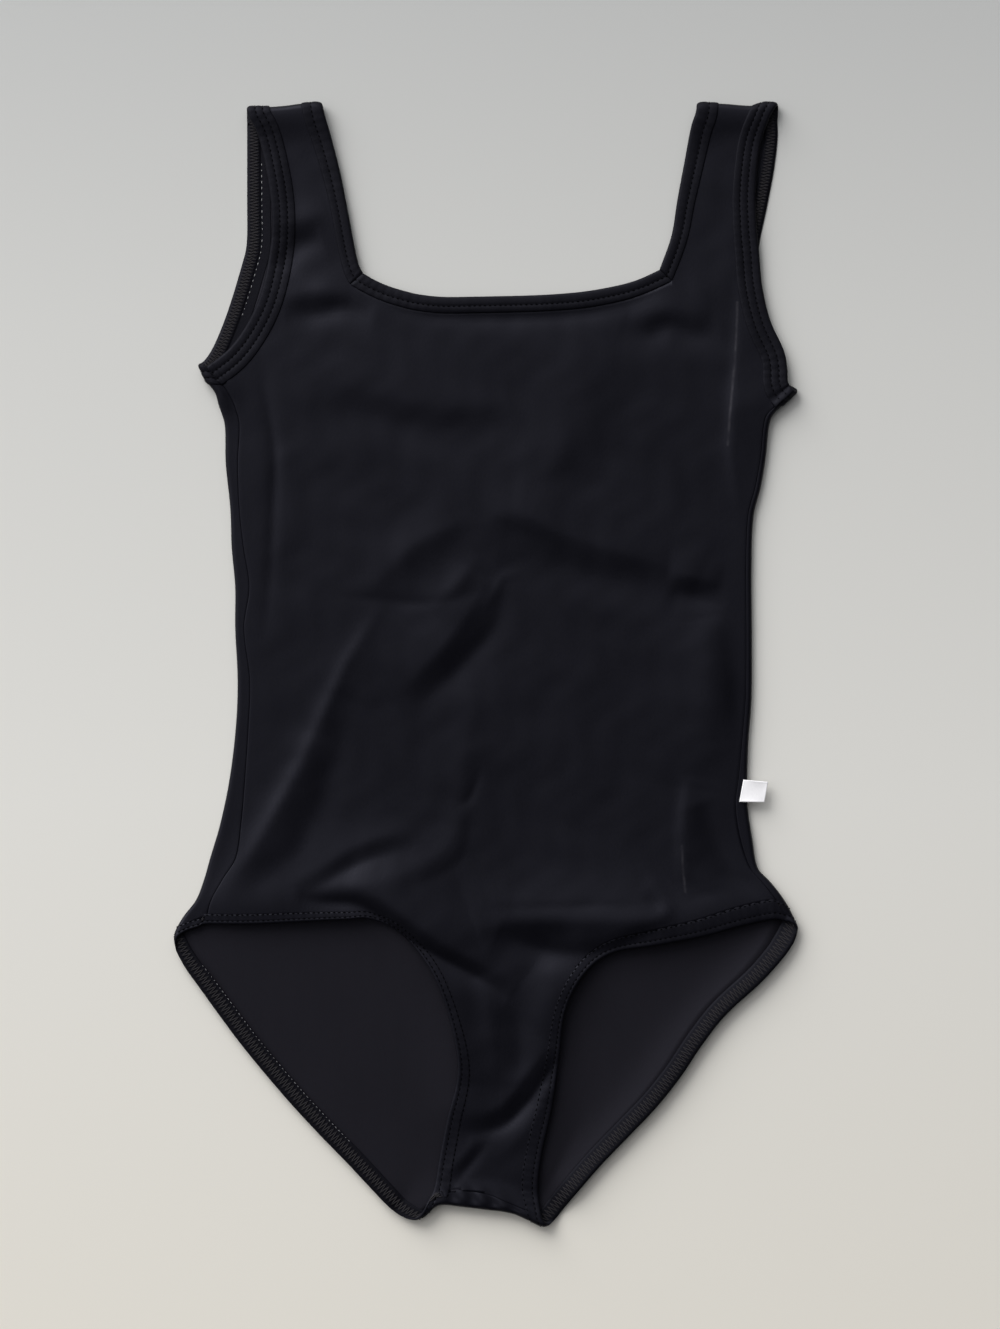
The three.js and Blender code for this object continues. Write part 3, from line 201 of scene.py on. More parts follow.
# Folds and creases of the front: rise, spread to the left and to the right of the path,
# how crisp the crest is (2 soft, 1 sharp), path
FOLDS = [
    # the long fold from the left hip to the waist, with the pool beside it
    (1.2, 8, 20, 1.7, [(-162, -140), (-146, -121), (-130, -102), (-115, -80), (-103, -60), (-95, -38),
                       (-88, -18)]),
    (1.8, 4.5, 14, 1.15, [(-156, -139), (-140, -116), (-129, -100), (-117, -78), (-106, -58), (-98, -40)]),
    (2.0, 4, 10, 1.15, [(-112, -68), (-98, -40), (-89, -20), (-81, -2), (-72, 13), (-60, 32)]),
    (-1.2, 9, 9, 1.8, [(-76, -18), (-82, -38), (-88, -60), (-97, -84), (-107, -107), (-126, -123),
                       (-146, -133)]),
    # the pleat over the left leg
    (1.0, 9, 4, 1.4, [(-112, -126), (-94, -117), (-78, -107), (-60, -100), (-38, -95)]),
    (-0.9, 4, 4, 1.5, [(-108, -132), (-91, -124), (-78, -116), (-60, -109), (-40, -103)]),
    (1.2, 9, 9, 1.6, [(-104, -134), (-84, -129), (-62, -125), (-42, -118), (-26, -108), (-16, -94),
                      (-14, -78)]),
    (-0.4, 4, 4, 1.6, [(-9, -80), (-10, -98), (-15, -112), (-30, -122), (-48, -128)]),
    (-3.7, 5, 5.5, 1.5, [(-108, -133), (-94, -136), (-78, -136), (-66, -141), (-54, -150), (-38, -161),
                         (-20, -171), (-3, -180), (12, -190)]),
    (2.6, 26, 6, 1.6, [(-80, -127), (-62, -133), (-50, -141), (-36, -151), (-18, -163), (2, -173),
                       (18, -184)]),
    (1.3, 14, 8, 1.7, [(-4, -178), (1, -192), (3, -208), (6, -226), (9, -242)]),
    (-1.0, 7, 7, 1.8, [(14, -186), (18, -204), (19, -222), (17, -238)]),
    (0.9, 12, 13, 1.6, [(-16, -92), (-14, -76), (-13, -58), (-10, -40), (-6, -16)]),
    (-0.7, 2.2, 2.8, 1.3, [(-3, -60), (-7, -72), (-11, -79), (-18, -82)]),
    # the front edges that stand open over the legs
    (3.6, 44, 12, 2.0, [(-156, -146), (-110, -146), (-74, -145), (-52, -152), (-34, -174), (-22, -204),
                        (-20, -240)]),
    (3.2, 40, 12, 2.0, [(38, -250), (42, -205), (52, -180), (72, -166), (98, -160), (124, -154),
                        (156, -147)]),
    # the shelf above the crotch and its loop at the right
    (2.9, 24, 7, 1.6, [(-6, -152), (10, -147), (30, -146), (60, -146), (88, -145), (106, -138)]),
    (-3.0, 7, 10, 1.7, [(6, -154), (20, -160), (40, -165), (60, -165), (80, -160), (100, -151)]),
    (-0.45, 2, 2, 1.4, [(-2, -140), (30, -139), (60, -138), (92, -138)]),
    (0.9, 3.5, 4, 1.4, [(92, -122), (100, -130), (102.5, -139), (99, -145.5), (84, -150), (66, -158)]),
    (-0.8, 3, 3, 1.6, [(90, -133), (95, -136), (100, -141)]),
    # the right hip
    (1.5, 26, 2.6, 1.3, [(115, -64), (112.6, -78), (111.4, -92), (111, -106), (112, -120), (115, -134)]),
    (-2.8, 6.5, 9, 1.7, [(122, -80), (129, -97), (141, -113), (155, -126), (168, -136)]),
    (-0.6, 3, 3, 1.6, [(112, -121), (120, -129), (128, -135)]),
    (1.5, 12, 20, 1.7, [(124, 40), (126, 10), (127, -20), (127, -48), (123, -72)]),
    (1.1, 5, 8, 1.6, [(136, 4), (140, -30), (141, -56), (142, -86)]),
    (1.4, 12, 5, 1.5, [(104, 50), (114, 49), (124, 47), (133, 45)]),
    (-1.3, 6, 7, 1.7, [(104, 41), (114, 38), (124, 36), (136, 32)]),
    (1.7, 8, 16, 1.8, [(130, 26), (132, 12), (134, -2), (135, -20), (134, -44)]),
    # the waist
    (2.2, 22, 7, 1.5, [(-56, -22), (-34, -1), (-21, 14), (-10, 29), (1, 48)]),
    (-1.4, 6, 9, 1.7, [(-42, -26), (-24, -11), (-9, 4), (4, 20), (13, 42)]),
    (2.4, 26, 10, 1.5, [(-14, 76), (8, 84), (24, 83), (40, 75), (62, 67), (82, 61), (100, 55), (120, 46)]),
    (-1.2, 10, 14, 1.9, [(6, 60), (36, 56), (62, 49), (86, 44), (112, 36)]),
    (1.7, 12, 10, 1.5, [(-76, 32), (-50, 58), (-36, 70), (-12, 82)]),
    (1.1, 7, 6, 1.5, [(-32, 30), (-17, 44), (-4, 62)]),
    (-0.7, 4, 4, 1.3, [(-88, 38), (-60, 36), (-40, 34), (-20, 36), (-2, 42)]),
    (0.7, 2.5, 2.5, 1.3, [(-2, 30), (5, 40), (9, 48), (20, 52)]),
    # the crotch
    (1.5, 14, 4, 1.5, [(-18, -259), (3, -255), (14, -246), (24, -232), (36, -216)]),
    (-1.9, 4, 4, 1.6, [(-14, -268), (8, -264), (22, -252), (32, -238), (42, -222)]),
    (0.9, 12, 6, 1.6, [(4, -284), (16, -272), (27, -258), (37, -238)]),
    (0.9, 5, 3, 1.5, [(-28, -296), (-13, -281), (-5, -271)]),
    (-1.1, 3, 3, 1.5, [(-22, -302), (-14, -291), (-9, -285), (2, -272)]),
    (-0.6, 3, 2.5, 1.6, [(-20, -295), (0, -294), (18, -298)]),
    # the chest and the straps
    (1.1, 20, 9, 1.8, [(-112, 166), (-64, 155), (-36, 148), (-10, 146), (16, 150)]),
    (-0.9, 9, 12, 1.9, [(-100, 148), (-62, 138), (-32, 132), (4, 131)]),
    (1.5, 15, 26, 1.8, [(68, 184), (54, 150), (42, 124), (33, 102), (22, 74)]),
    (-1.4, 2.6, 4, 1.3, [(-130, 178), (-124, 146), (-120, 118), (-121, 88), (-123, 50), (-127, 10)]),
    (1.2, 45, 2.2, 1.3, [(143, 218), (143, 190), (141, 160), (139, 134), (139, 116), (143, 90), (147, 50)]),
    (0.6, 2.5, 2.5, 1.3, [(146, 128), (151, 108), (155, 92)]),
    (1.0, 8, 4, 1.6, [(-118, 206), (-96, 210), (-78, 207)]),
    (-2.0, 6, 7, 1.7, [(-114, 198), (-96, 199), (-82, 202), (-64, 199)]),
    (0.9, 8, 5, 1.7, [(82, 196), (102, 199), (128, 198)]),
    (-1.5, 6, 8, 1.8, [(76, 192), (92, 187), (104, 192), (118, 186), (132, 190)]),
    (1.1, 6, 26, 2.0, [(-123, 300), (-119, 272), (-115, 244)]),
    (1.4, 12, 80, 2.0, [(-134, 214), (-60, 200), (50, 198), (150, 214)]),
    (1.0, 10, 6, 1.7, [(-118, 250), (-104, 252), (-90, 258)]),
    (-1.8, 6, 8, 1.8, [(-117, 222), (-110, 236), (-94, 242)]),
    (-1.7, 3, 6, 1.5, [(-66, 208), (-44, 199.5), (-12, 197), (30, 197.5), (62, 200.5), (84, 206),
                       (97, 213)]),
    (-0.5, 7, 7, 2.0, [(120, 307), (140, 305), (164, 308)]),
]
# Pinches of the folded bindings at the underarms: rise, spread, path
PINCHES = [
    (-0.7, 1.3, [(-159, 168.5), (-150, 157.5), (-143, 146)]),
    (0.5, 1.6, [(-160, 164.5), (-152, 153.5), (-146, 143.5)]),
    (-0.5, 1.3, [(-158, 158.5), (-151.5, 149.5), (-149, 144)]),
    (-0.6, 1.0, [(162, 147), (167.5, 152.5), (172.5, 157.5)]),
    (0.5, 1.4, [(164, 145.5), (169.5, 150.5), (174, 155)]),
    (-0.5, 1.0, [(166, 143.5), (170.5, 148), (175, 152)]),
]
CROWN = 0.9  # how far the middle of the front stands above its folds' level
DEEPEST = 1.35  # how far a crease may sink towards the back
FOLD_STEPS = 16
FOLD_ROUND = 0.6  # how round the crest of a fold is
FOLD_FADE = 0.75  # how evenly a fold rises along its path
LIP_WAVE = 10.5  # length of the puckers beside the crotch seam
LIP_RISE = 0.8
LIP_SHARE = 0.5  # of the puckers, on the part of the lip that turns down


# Curves and heights


def path_lengths(path):
    """Length along a path at each of its points."""
    return np.concatenate([[0], np.cumsum(np.linalg.norm(np.diff(path, axis=0), axis=1))])


def column(rows, which):
    """One column of a table as a smooth function of the first one."""
    table = np.array(sorted(rows), float)
    at, value = table[:, 0], table[:, which]
    slope = np.empty_like(value)
    slope[1:-1] = (value[2:] - value[:-2]) / (at[2:] - at[:-2])
    slope[0] = (value[1] - value[0]) / (at[1] - at[0])
    slope[-1] = (value[-1] - value[-2]) / (at[-1] - at[-2])

    def evaluate(place):
        inside = np.clip(place, at[0], at[-1])
        i = np.clip(np.searchsorted(at, inside) - 1, 0, len(at) - 2)
        span = at[i + 1] - at[i]
        t = (inside - at[i]) / span
        stay = 2 * t**3 - 3 * t**2 + 1
        leave = t**3 - 2 * t**2 + t
        arrive = t**3 - t**2
        eased = stay * value[i] + (1 - stay) * value[i + 1]
        eased = eased + span * (leave * slope[i] + arrive * slope[i + 1])
        before = np.minimum(place - at[0], 0) * slope[0]
        after = np.maximum(place - at[-1], 0) * slope[-1]
        return eased + before + after

    return evaluate


left_fold, left_seam = column(LEFT_SIDE, 1), column(LEFT_SIDE, 2)
right_fold, right_seam = column(RIGHT_SIDE, 1), column(RIGHT_SIDE, 2)
crotch_fold, crotch_seam = column(CROTCH, 1), column(CROTCH, 2)
shoulder_dip = column(SHOULDER_DIPS, 1)


class Fold:
    """A fold of the back ply: it turns up at its outline, across one axis, and then runs inwards."""

    def __init__(self, outline, axis, inward, roll):
        self.outline = outline
        self.axis = axis
        self.inward = inward
        self.roll = roll

    def centre(self, along):
        return self.outline(along) + self.inward * (HALF + self.roll)

    def inside(self, x, y):
        """Distance of places on the surface from the outline."""
        across, along = (x, y) if self.axis == 0 else (y, x)
        return self.inward * (across - self.outline(along))

    def past(self, places):
        """Distance of pattern places past the start of the fold."""
        return self.inward * (self.centre(places[..., 1 - self.axis]) - places[..., self.axis])

    def at(self, places, reach):
        """The places moved across to a distance past the start of the fold."""
        moved = np.array(places, float)
        moved[..., self.axis] = self.centre(moved[..., 1 - self.axis]) - self.inward * reach
        return moved

    def unroll(self, place, gap):
        """The pattern place that comes to lie a gap short of a place seen on the front."""
        beyond = self.inward * (place[self.axis] - self.centre(place[1 - self.axis])) - gap
        if beyond >= 0:
            return self.at(place, np.pi * self.roll + beyond)
        return self.at(place, self.roll * (np.pi - np.arcsin(min(1, -beyond / self.roll))))


LEFT_FOLD = Fold(left_fold, 0, 1, LEFT_ROLL)
RIGHT_FOLD = Fold(right_fold, 0, -1, RIGHT_ROLL)
CROTCH_FOLD = Fold(crotch_fold, 1, 1, CROTCH_ROLL)


def spline(rows):
    """A smooth curve through rows of numbers, as a function of the share along it."""
    points = np.array(rows, float)
    padded = np.vstack([2 * points[0] - points[1], points, 2 * points[-1] - points[-2]])
    spans = len(points) - 1

    def evaluate(share):
        along = np.clip(share, 0, 1) * spans
        i = np.minimum(along.astype(int), spans - 1)
        t = (along - i)[:, None]
        a, b, c, d = (padded[i + k] for k in range(4))
        leave = (c - a) / 2
        arrive = (d - b) / 2
        return (
            (2 * b - 2 * c + leave + arrive) * t**3
            + (3 * c - 3 * b - 2 * leave - arrive) * t**2
            + leave * t
            + b
        )

    return evaluate


def fold_path(points):
    return spline(points)(np.linspace(0, 1, FOLD_STEPS + 1))


def nearest(path, x, y):
    """Distance of each place from a path, its share along the path, and whether it is to its left."""
    best = np.full(x.shape, np.inf)
    share = np.zeros(x.shape)
    left = np.zeros(x.shape, bool)
    for i in range(len(path) - 1):
        start = path[i]
        step = path[i + 1] - start
        t = ((x - start[0]) * step[0] + (y - start[1]) * step[1]) / (step @ step)
        t = np.clip(t, 0, 1)
        off_x = x - start[0] - t * step[0]
        off_y = y - start[1] - t * step[1]
        distance = np.hypot(off_x, off_y)
        closer = distance < best
        best = np.where(closer, distance, best)
        share = np.where(closer, (i + t) / (len(path) - 1), share)
        left = np.where(closer, step[0] * off_y - step[1] * off_x > 0, left)
    return best, share, left


fold_rows = [(rise, left, right, crisp, fold_path(path)) for rise, left, right, crisp, path in FOLDS]
lift_rows = [(rise, spread, fold_path(path)) for rise, spread, path in LIFTS]
pinch_rows = [(rise, spread, fold_path(path)) for rise, spread, path in PINCHES]


def relief(x, y):
    """Height of the folds of the front, which never sink into the back."""
    height = np.full(x.shape, CROWN)
    for rise, left_spread, right_spread, crisp, path in fold_rows:
        distance, share, left = nearest(path, x, y)
        spread = np.where(left, left_spread, right_spread)
        rounded = np.sqrt(distance**2 + FOLD_ROUND) / spread
        height += rise * np.sin(np.pi * share) ** FOLD_FADE * np.exp(-(rounded**crisp))
    return np.where(height < 0, -DEEPEST * np.tanh(-height / DEEPEST), height)


# Slack of the cloth: rise, wave length and direction of each slow wave, in millimetres and turns
SLACK_WAVES = [(0.10, 61, 0.06), (0.09, 47, 0.21), (0.07, 33, 0.34), (0.05, 23, 0.12), (0.04, 17, 0.43)]


def slack(x, y):
    height = np.zeros(x.shape)
    for i, (rise, length, turn) in enumerate(SLACK_WAVES):
        angle = 2 * np.pi * turn
        along = x * np.cos(angle) + y * np.sin(angle)
        across = y * np.cos(angle) - x * np.sin(angle)
        bend = 0.35 * length * np.sin(2 * np.pi * across / (3.1 * length) + i)
        height += rise * np.sin(2 * np.pi * (along + bend) / length + 2 * i)
    return height


def lip_pucker(x, y):
    """Waves of the narrow lip between the crotch seam and the bottom fold."""
    near = np.exp(-(((y - crotch_seam(x) + 4) / 4.5) ** 2))
    inside = np.clip((x + 31) / 8, 0, 1) * np.clip((27 - x) / 8, 0, 1)
    return LIP_RISE * near * inside * np.sin(2 * np.pi * (x + 0.5 * y) / LIP_WAVE)


def pinches(x, y):
    height = np.zeros(x.shape)
    for rise, spread, path in pinch_rows:
        distance, share, _ = nearest(path, x, y)
        height += rise * np.sin(np.pi * share) ** 0.5 * np.exp(-((distance / spread) ** 2))
    return height


def lift(x, y):
    height = np.zeros(x.shape)
    for rise, spread, path in lift_rows:
        distance = nearest(path, x, y)[0]
        height = np.maximum(height, rise * np.exp(-((distance / spread) ** 2)))
    return height


def hold(distance, roll):
    """How fully the height of a fold counts at a distance from the outline."""
    past = np.maximum(0, distance - roll - 2 * HALF)
    return np.exp(-((past / FOLD_SLOPE) ** 2))


def back_height(x, y):
    return HALF + lift(x, y)


def front_height(x, y):
    rolls = [(fold.roll, fold.inside(x, y)) for fold in (LEFT_FOLD, RIGHT_FOLD, CROTCH_FOLD)]
    rolls.append((SHOULDER_ROLL, SHOULDER_Y - y))
    height = np.full(x.shape, PLY_SPACE)
    free = np.ones(x.shape)
    for roll, distance in rolls:
        share = hold(distance, roll)
        height += (2 * roll - PLY_SPACE) * share
        free *= 1 - share
    loose = relief(x, y) + slack(x, y)
    return back_height(x, y) + height + loose * free + lip_pucker(x, y) + pinches(x, y)


def lay_front(places):
    """The front ply: up to the shoulder, over it and back along the surface."""
    x, y = places[..., 0], places[..., 1]
    past = y - SHOULDER_CENTRE
    turn = np.clip(past / SHOULDER_ROLL, 0, np.pi)
    under = np.maximum(past - np.pi * SHOULDER_ROLL, 0)
    over = past > 0
    corner = sum(np.exp(-np.abs(x - edge) / CORNER_WIDTH) for edge in STRAP_EDGES)
    short = np.maximum(SHOULDER_Y - y, 0)
    dip = shoulder_dip(x) * np.exp(-((short / DIP_REACH) ** 2))
    dip = dip + STRAP_CORNER * corner * np.exp(-((short / CORNER_REACH) ** 2))
    laid_y = np.where(over, SHOULDER_CENTRE + SHOULDER_ROLL * np.sin(turn) - under, y) - dip
    rolled_z = HALF + SHOULDER_ROLL * (1 + np.cos(turn))
    laid_z = np.where(over, rolled_z, front_height(x, y))
    return np.stack([x, laid_y, laid_z], axis=-1)


def rolled(past, radius):
    """Place, rise and whether it is over, after rolling a distance past the start of a fold."""
    angle = np.clip(past / radius, 0, np.pi)
    along = np.maximum(past - np.pi * radius, 0) - radius * np.sin(angle)
    return along, radius * (1 - np.cos(angle)), past > np.pi * radius


def lay_back(places):
    """The back ply: on the surface, over the side folds and over the bottom fold."""
    laid = np.array(places, float)
    up = np.zeros(laid.shape[:-1])
    free = np.ones(up.shape, bool)
    over = ~free
    for fold in (LEFT_FOLD, RIGHT_FOLD, CROTCH_FOLD):
        past = fold.past(places)
        bent = free & (past > 0)
        along, rise, beyond = rolled(past, fold.roll)
        turned = fold.centre(places[..., 1 - fold.axis]) + fold.inward * along
        laid[..., fold.axis] = np.where(bent, turned, laid[..., fold.axis])
        up += np.where(bent, rise, 0)
        over |= bent & beyond
        free &= ~bent
    x, y = laid[..., 0], laid[..., 1]
    low = back_height(x, y) + up + LIP_SHARE * np.where(bent, lip_pucker(x, y), 0)
    return np.stack([x, y, np.where(over, front_height(x, y), low)], axis=-1)


# Edges of the pattern


class Edge:
    """An edge of the pattern as close stations: outer places, directions into the cloth and widths."""

    def __init__(self, rows, side, lay):
        curve = spline(rows)
        coarse = curve(np.linspace(0, 1, 201))
        share = np.linspace(0, 1, int(np.ceil(path_lengths(coarse)[-1] / FINE_STEP)) + 1)
        place = curve(share)
        ahead = curve(np.minimum(share + 1e-3, 1)) - curve(np.maximum(share - 1e-3, 0))
        tangent = ahead[:, :2] / np.linalg.norm(ahead[:, :2], axis=1)[:, None]
        self.into = np.stack([-tangent[:, 1], tangent[:, 0]], axis=1) * side
        self.outer = place[:, :2].copy()
        self.width = place[:, 2].copy()
        self.lay = lay

    def at(self, distance):
        """Places at a distance from the outer edge: one number, or one for each station."""
        return self.outer + self.into * np.broadcast_to(distance, self.width.shape)[:, None]

    def cut(self):
        return self.at(self.width + SEAM_GAP)

    def tucked(self):
        """The line where the panel ends, out of sight inside its binding."""
        return self.at(self.width - TUCK)

    def lead(self, order, outer_end, inner_end):
        """Lead the stretch at the first station of an order, so that it ends between two places."""
        count = round(LEAD_REACH / FINE_STEP)
        picked = order[:count]
        share = 1 - np.arange(count) / count
        share = (share**2 * (3 - 2 * share))[:, None]
        cut = self.cut()
        outer = self.outer[picked] + (outer_end - self.outer[order[0]]) * share
        inner = cut[picked] + (inner_end - cut[order[0]]) * share
        across = inner - outer
        length = np.linalg.norm(across, axis=1)
        self.outer[picked] = outer
        self.width[picked] = length - SEAM_GAP
        self.into[picked] = across / length[:, None]

    def forward(self):
        return np.arange(len(self.width))

    def backward(self):
        return self.forward()[::-1]


LEFT, RIGHT = 1, -1
arm_left_front = Edge(ARMHOLE_LEFT_FRONT, RIGHT, lay_front)
arm_left_back = Edge(ARMHOLE_LEFT_BACK, LEFT, lay_back)
arm_right_front = Edge(ARMHOLE_RIGHT_FRONT, LEFT, lay_front)
arm_right_back = Edge(ARMHOLE_RIGHT_BACK, RIGHT, lay_back)
neck_left = Edge(NECK_LEFT, LEFT, lay_front)
neck_front = Edge(NECK_FRONT, RIGHT, lay_front)
neck_right = Edge(NECK_RIGHT, RIGHT, lay_front)
neck_back = Edge(NECK_BACK, RIGHT, lay_back)
leg_left_front = Edge(LEG_LEFT_FRONT, LEFT, lay_front)
leg_left_back = Edge(LEG_LEFT_BACK, RIGHT, lay_back)
leg_right_front = Edge(LEG_RIGHT_FRONT, RIGHT, lay_front)
leg_right_back = Edge(LEG_RIGHT_BACK, LEFT, lay_back)


def on_crotch_seam(x):
    return np.array([x, crotch_seam(x)])


def on_right_seam(y):
    return np.array([right_seam(y), y])


def mitre(first, first_station, second, second_station):
    """Cut two edges that meet at a corner along their mitre."""
    a, b = first.into[first_station], second.into[second_station]
    into = (a + b) / (1 + a @ b)
    corner = first.outer[first_station] + into * (first.width[first_station] + SEAM_GAP)
    for edge, station in ((first, first_station), (second, second_station)):
        order = edge.forward() if station == 0 else edge.backward()
        edge.lead(order, edge.outer[station], corner)


def meet(back, order, front, station, fold):
    """Lead an edge on the back to the same edge on the front."""
    outer_end = fold.unroll(front.outer[station], MEET_SPACE)
    back.lead(order, outer_end, fold.unroll(front.cut()[station], MEET_SPACE))


leg_left_front.lead(leg_left_front.backward(), *map(on_crotch_seam, CROTCH_ENDS["left"]))
leg_right_front.lead(leg_right_front.backward(), *map(on_crotch_seam, CROTCH_ENDS["right"]))
leg_right_front.lead(leg_right_front.forward(), *map(on_right_seam, HIP_END))
mitre(neck_left, 0, neck_front, 0)
mitre(neck_front, -1, neck_right, 0)
meet(arm_left_back, arm_left_back.backward(), arm_left_front, 0, LEFT_FOLD)
meet(arm_right_back, arm_right_back.backward(), arm_right_front, 0, RIGHT_FOLD)
for leg_back, leg_front, side_fold in (
    (leg_left_back, leg_left_front, LEFT_FOLD),
    (leg_right_back, leg_right_front, RIGHT_FOLD),
):
    meet(leg_back, leg_back.forward(), leg_front, -1, CROTCH_FOLD)
    meet(leg_back, leg_back.backward(), leg_front, 0, side_fold)


# Cloth


def placed(name, data):
    """A new object in the scene."""
    obj = bpy.data.objects.new(name, data)
    bpy.context.scene.collection.objects.link(obj)
    return obj


class Cloth:
    """A ply of cloth: patches of places with their pattern places, welded and given a wall."""

    def __init__(self, name):
        self.name = name
        self.points = []
        self.flats = []
        self.rises = []
        self.unders = []
        self.quads = []
        self.count = 0

    def patch(self, points, flats, flip=False, rise=0.0, under=0.0):
        rows, columns = points.shape[:2]
        ids = np.arange(rows * columns).reshape(rows, columns) + self.count
        quads = np.stack([ids[:-1, :-1], ids[1:, :-1], ids[1:, 1:], ids[:-1, 1:]], axis=-1).reshape(-1, 4)
        self.quads.append(quads[:, ::-1] if flip else quads)
        self.points.append(points.reshape(-1, 3))
        self.flats.append(flats.reshape(-1, 2))
        self.rises.append(np.broadcast_to(rise, (rows, columns)).ravel())
        self.unders.append(np.broadcast_to(under, (rows, columns)).ravel())
        self.count += rows * columns

    def welded(self):
        points = np.concatenate(self.points)
        keys = np.round(points / WELD).astype(np.int64)
        _, first, ids = np.unique(keys, axis=0, return_index=True, return_inverse=True)
        ids = self.ids = ids.ravel()
        quads = ids[np.concatenate(self.quads)]
        after = np.roll(quads, -1, axis=1)
        whole = (quads != after).sum(axis=1) == 4
        rises = np.concatenate(self.rises)
        low = np.full(len(first), np.inf)
        np.minimum.at(low, ids, rises)
        fields = (points[first], np.concatenate(self.flats)[first], low, np.concatenate(self.unders)[first])
        return fields, quads[whole]

    def build(self, outside, inside):
        """The mesh with its wall, its pattern as UVs, and the two sides in their materials."""
        (points, flats, rises, unders), quads = self.welded()
        across = points[quads[:, 2]] - points[quads[:, 0]]
        along = points[quads[:, 3]] - points[quads[:, 1]]
        face_normals = np.cross(across, along)
        normals = np.zeros_like(points)
        for k in range(4):
            np.add.at(normals, quads[:, k], face_normals)
        normals /= np.maximum(np.linalg.norm(normals, axis=1), 1e-9)[:, None]
        facing = np.clip(1 + normals[:, 2], 0, 1)
        outer = points + normals * (WALL + rises * np.where(rises > 0, facing, 1))[:, None]
        inner = points - normals * (WALL + unders * np.where(unders > 0, 1 - facing, 1))[:, None]
        count = len(points)
        edges = np.stack([quads, np.roll(quads, -1, axis=1)], axis=-1).reshape(-1, 2)
        codes = edges[:, 0] * count + edges[:, 1]
        twins = edges[:, 1] * count + edges[:, 0]
        rim = edges[~np.isin(codes, twins)]
        sides = np.stack([rim[:, 1], rim[:, 0], rim[:, 0] + count, rim[:, 1] + count], axis=1)
        faces = np.concatenate([quads, quads[:, ::-1] + count, sides])
        self.outer, self.inner = outer, inner
        mesh = bpy.data.meshes.new(self.name)
        mesh.from_pydata(np.concatenate([outer, inner]) * MM, [], faces.tolist())
        uv = mesh.uv_layers.new(name="pattern")
        doubled = np.concatenate([flats, flats]) * MM
        uv.data.foreach_set("uv", doubled[faces.ravel()].astype(np.float32).ravel())
        for material in (outside, inside):
            mesh.materials.append(material)
        marks = np.zeros(len(faces), np.int32)
        marks[len(quads):2 * len(quads)] = 1
        mesh.polygons.foreach_set("material_index", marks)
        mesh.polygons.foreach_set("use_smooth", np.ones(len(faces), bool))
        mesh.update()
        return placed(self.name, mesh)


# Lines and patches of the pattern


def steps(count, start=False, end=False):
    """Even shares, with a short first or last step beside a seam."""
    shares = list(np.linspace(0, 1, count + 1))
    if start:
        shares.insert(1, shares[1] * 0.3)
    if end:
        shares.insert(-1, 1 - (1 - shares[-2]) * 0.3)
    return np.array(shares)


def evenly(points, shares):
    lengths = path_lengths(points)
    wanted = np.asarray(shares) * lengths[-1]
    return np.stack([np.interp(wanted, lengths, points[:, k]) for k in range(2)], axis=1)


def straight(start, end, shares):
    return evenly(np.array([start, end]), shares)


def near_y(points, y):
    return int(np.argmin(np.abs(points[:, 1] - y)))


def seam_line(start, end, shares, which, line):
    """A seam between two corners, following its own line between them."""
    other = 1 - which
    t = np.asarray(shares)
    along = start[other] + (end[other] - start[other]) * t
    off_start = (start[which] - line(start[other])) * (1 - t) ** CORNER_POWER
    off_end = (end[which] - line(end[other])) * t**CORNER_POWER
    points = np.empty((len(t), 2))
    points[:, which] = line(along) + off_start + off_end
    points[:, other] = along
    return points


def filled(top, bottom, left, right, across, down):
    """A four-sided patch filled from its sides, in rows from top to bottom."""
    u = np.asarray(across)[None, :, None]
    v = np.asarray(down)[:, None, None]
    sides = (1 - v) * top[None] + v * bottom[None] + (1 - u) * left[:, None] + u * right[:, None]
    ends = (1 - v) * ((1 - u) * top[0] + u * top[-1]) + v * ((1 - u) * bottom[0] + u * bottom[-1])
    return sides - ends


# Steps of the meshes
STRAP = steps(28, start=True)
NECKLINE = steps(92)
LEG_FRONT = steps(40, start=True)
STRAP_ROWS = steps(40)
SHOULDER_ROWS = steps(16)
CHEST_ROWS = steps(20)
TORSO_ROWS = steps(150)
STRIP_ROWS = steps(60, end=True)
BACK_STRAP = steps(8)
BACK_NECK = steps(60)
BACK_STRAP_ROWS = steps(36)
SEAT_ROWS = steps(60)
ROLL_STEPS = 8
FLAT_STEPS = 5
SEAM_DIP = 0.1


def joined(*parts):
    """Shares of several lines one after another, each given its own length."""
    shares = [np.zeros(1)]
    start = 0.0
    for part, length in parts:
        shares.append(start + np.asarray(part)[1:] * length)
        start += length
    return np.concatenate(shares) / start


def lines_of(parts):
    return np.concatenate([parts[0]] + [part[1:] for part in parts[1:]])


def dips(rows, columns, left=False, right=False, bottom=False):
    """The fall of the cloth into the seams at the sides of a patch."""
    fall = np.zeros((rows, columns))
    if left:
        fall[:, 0] = -SEAM_DIP
    if right:
        fall[:, -1] = -SEAM_DIP
    if bottom:
        fall[-1, :] = -SEAM_DIP
    return fall


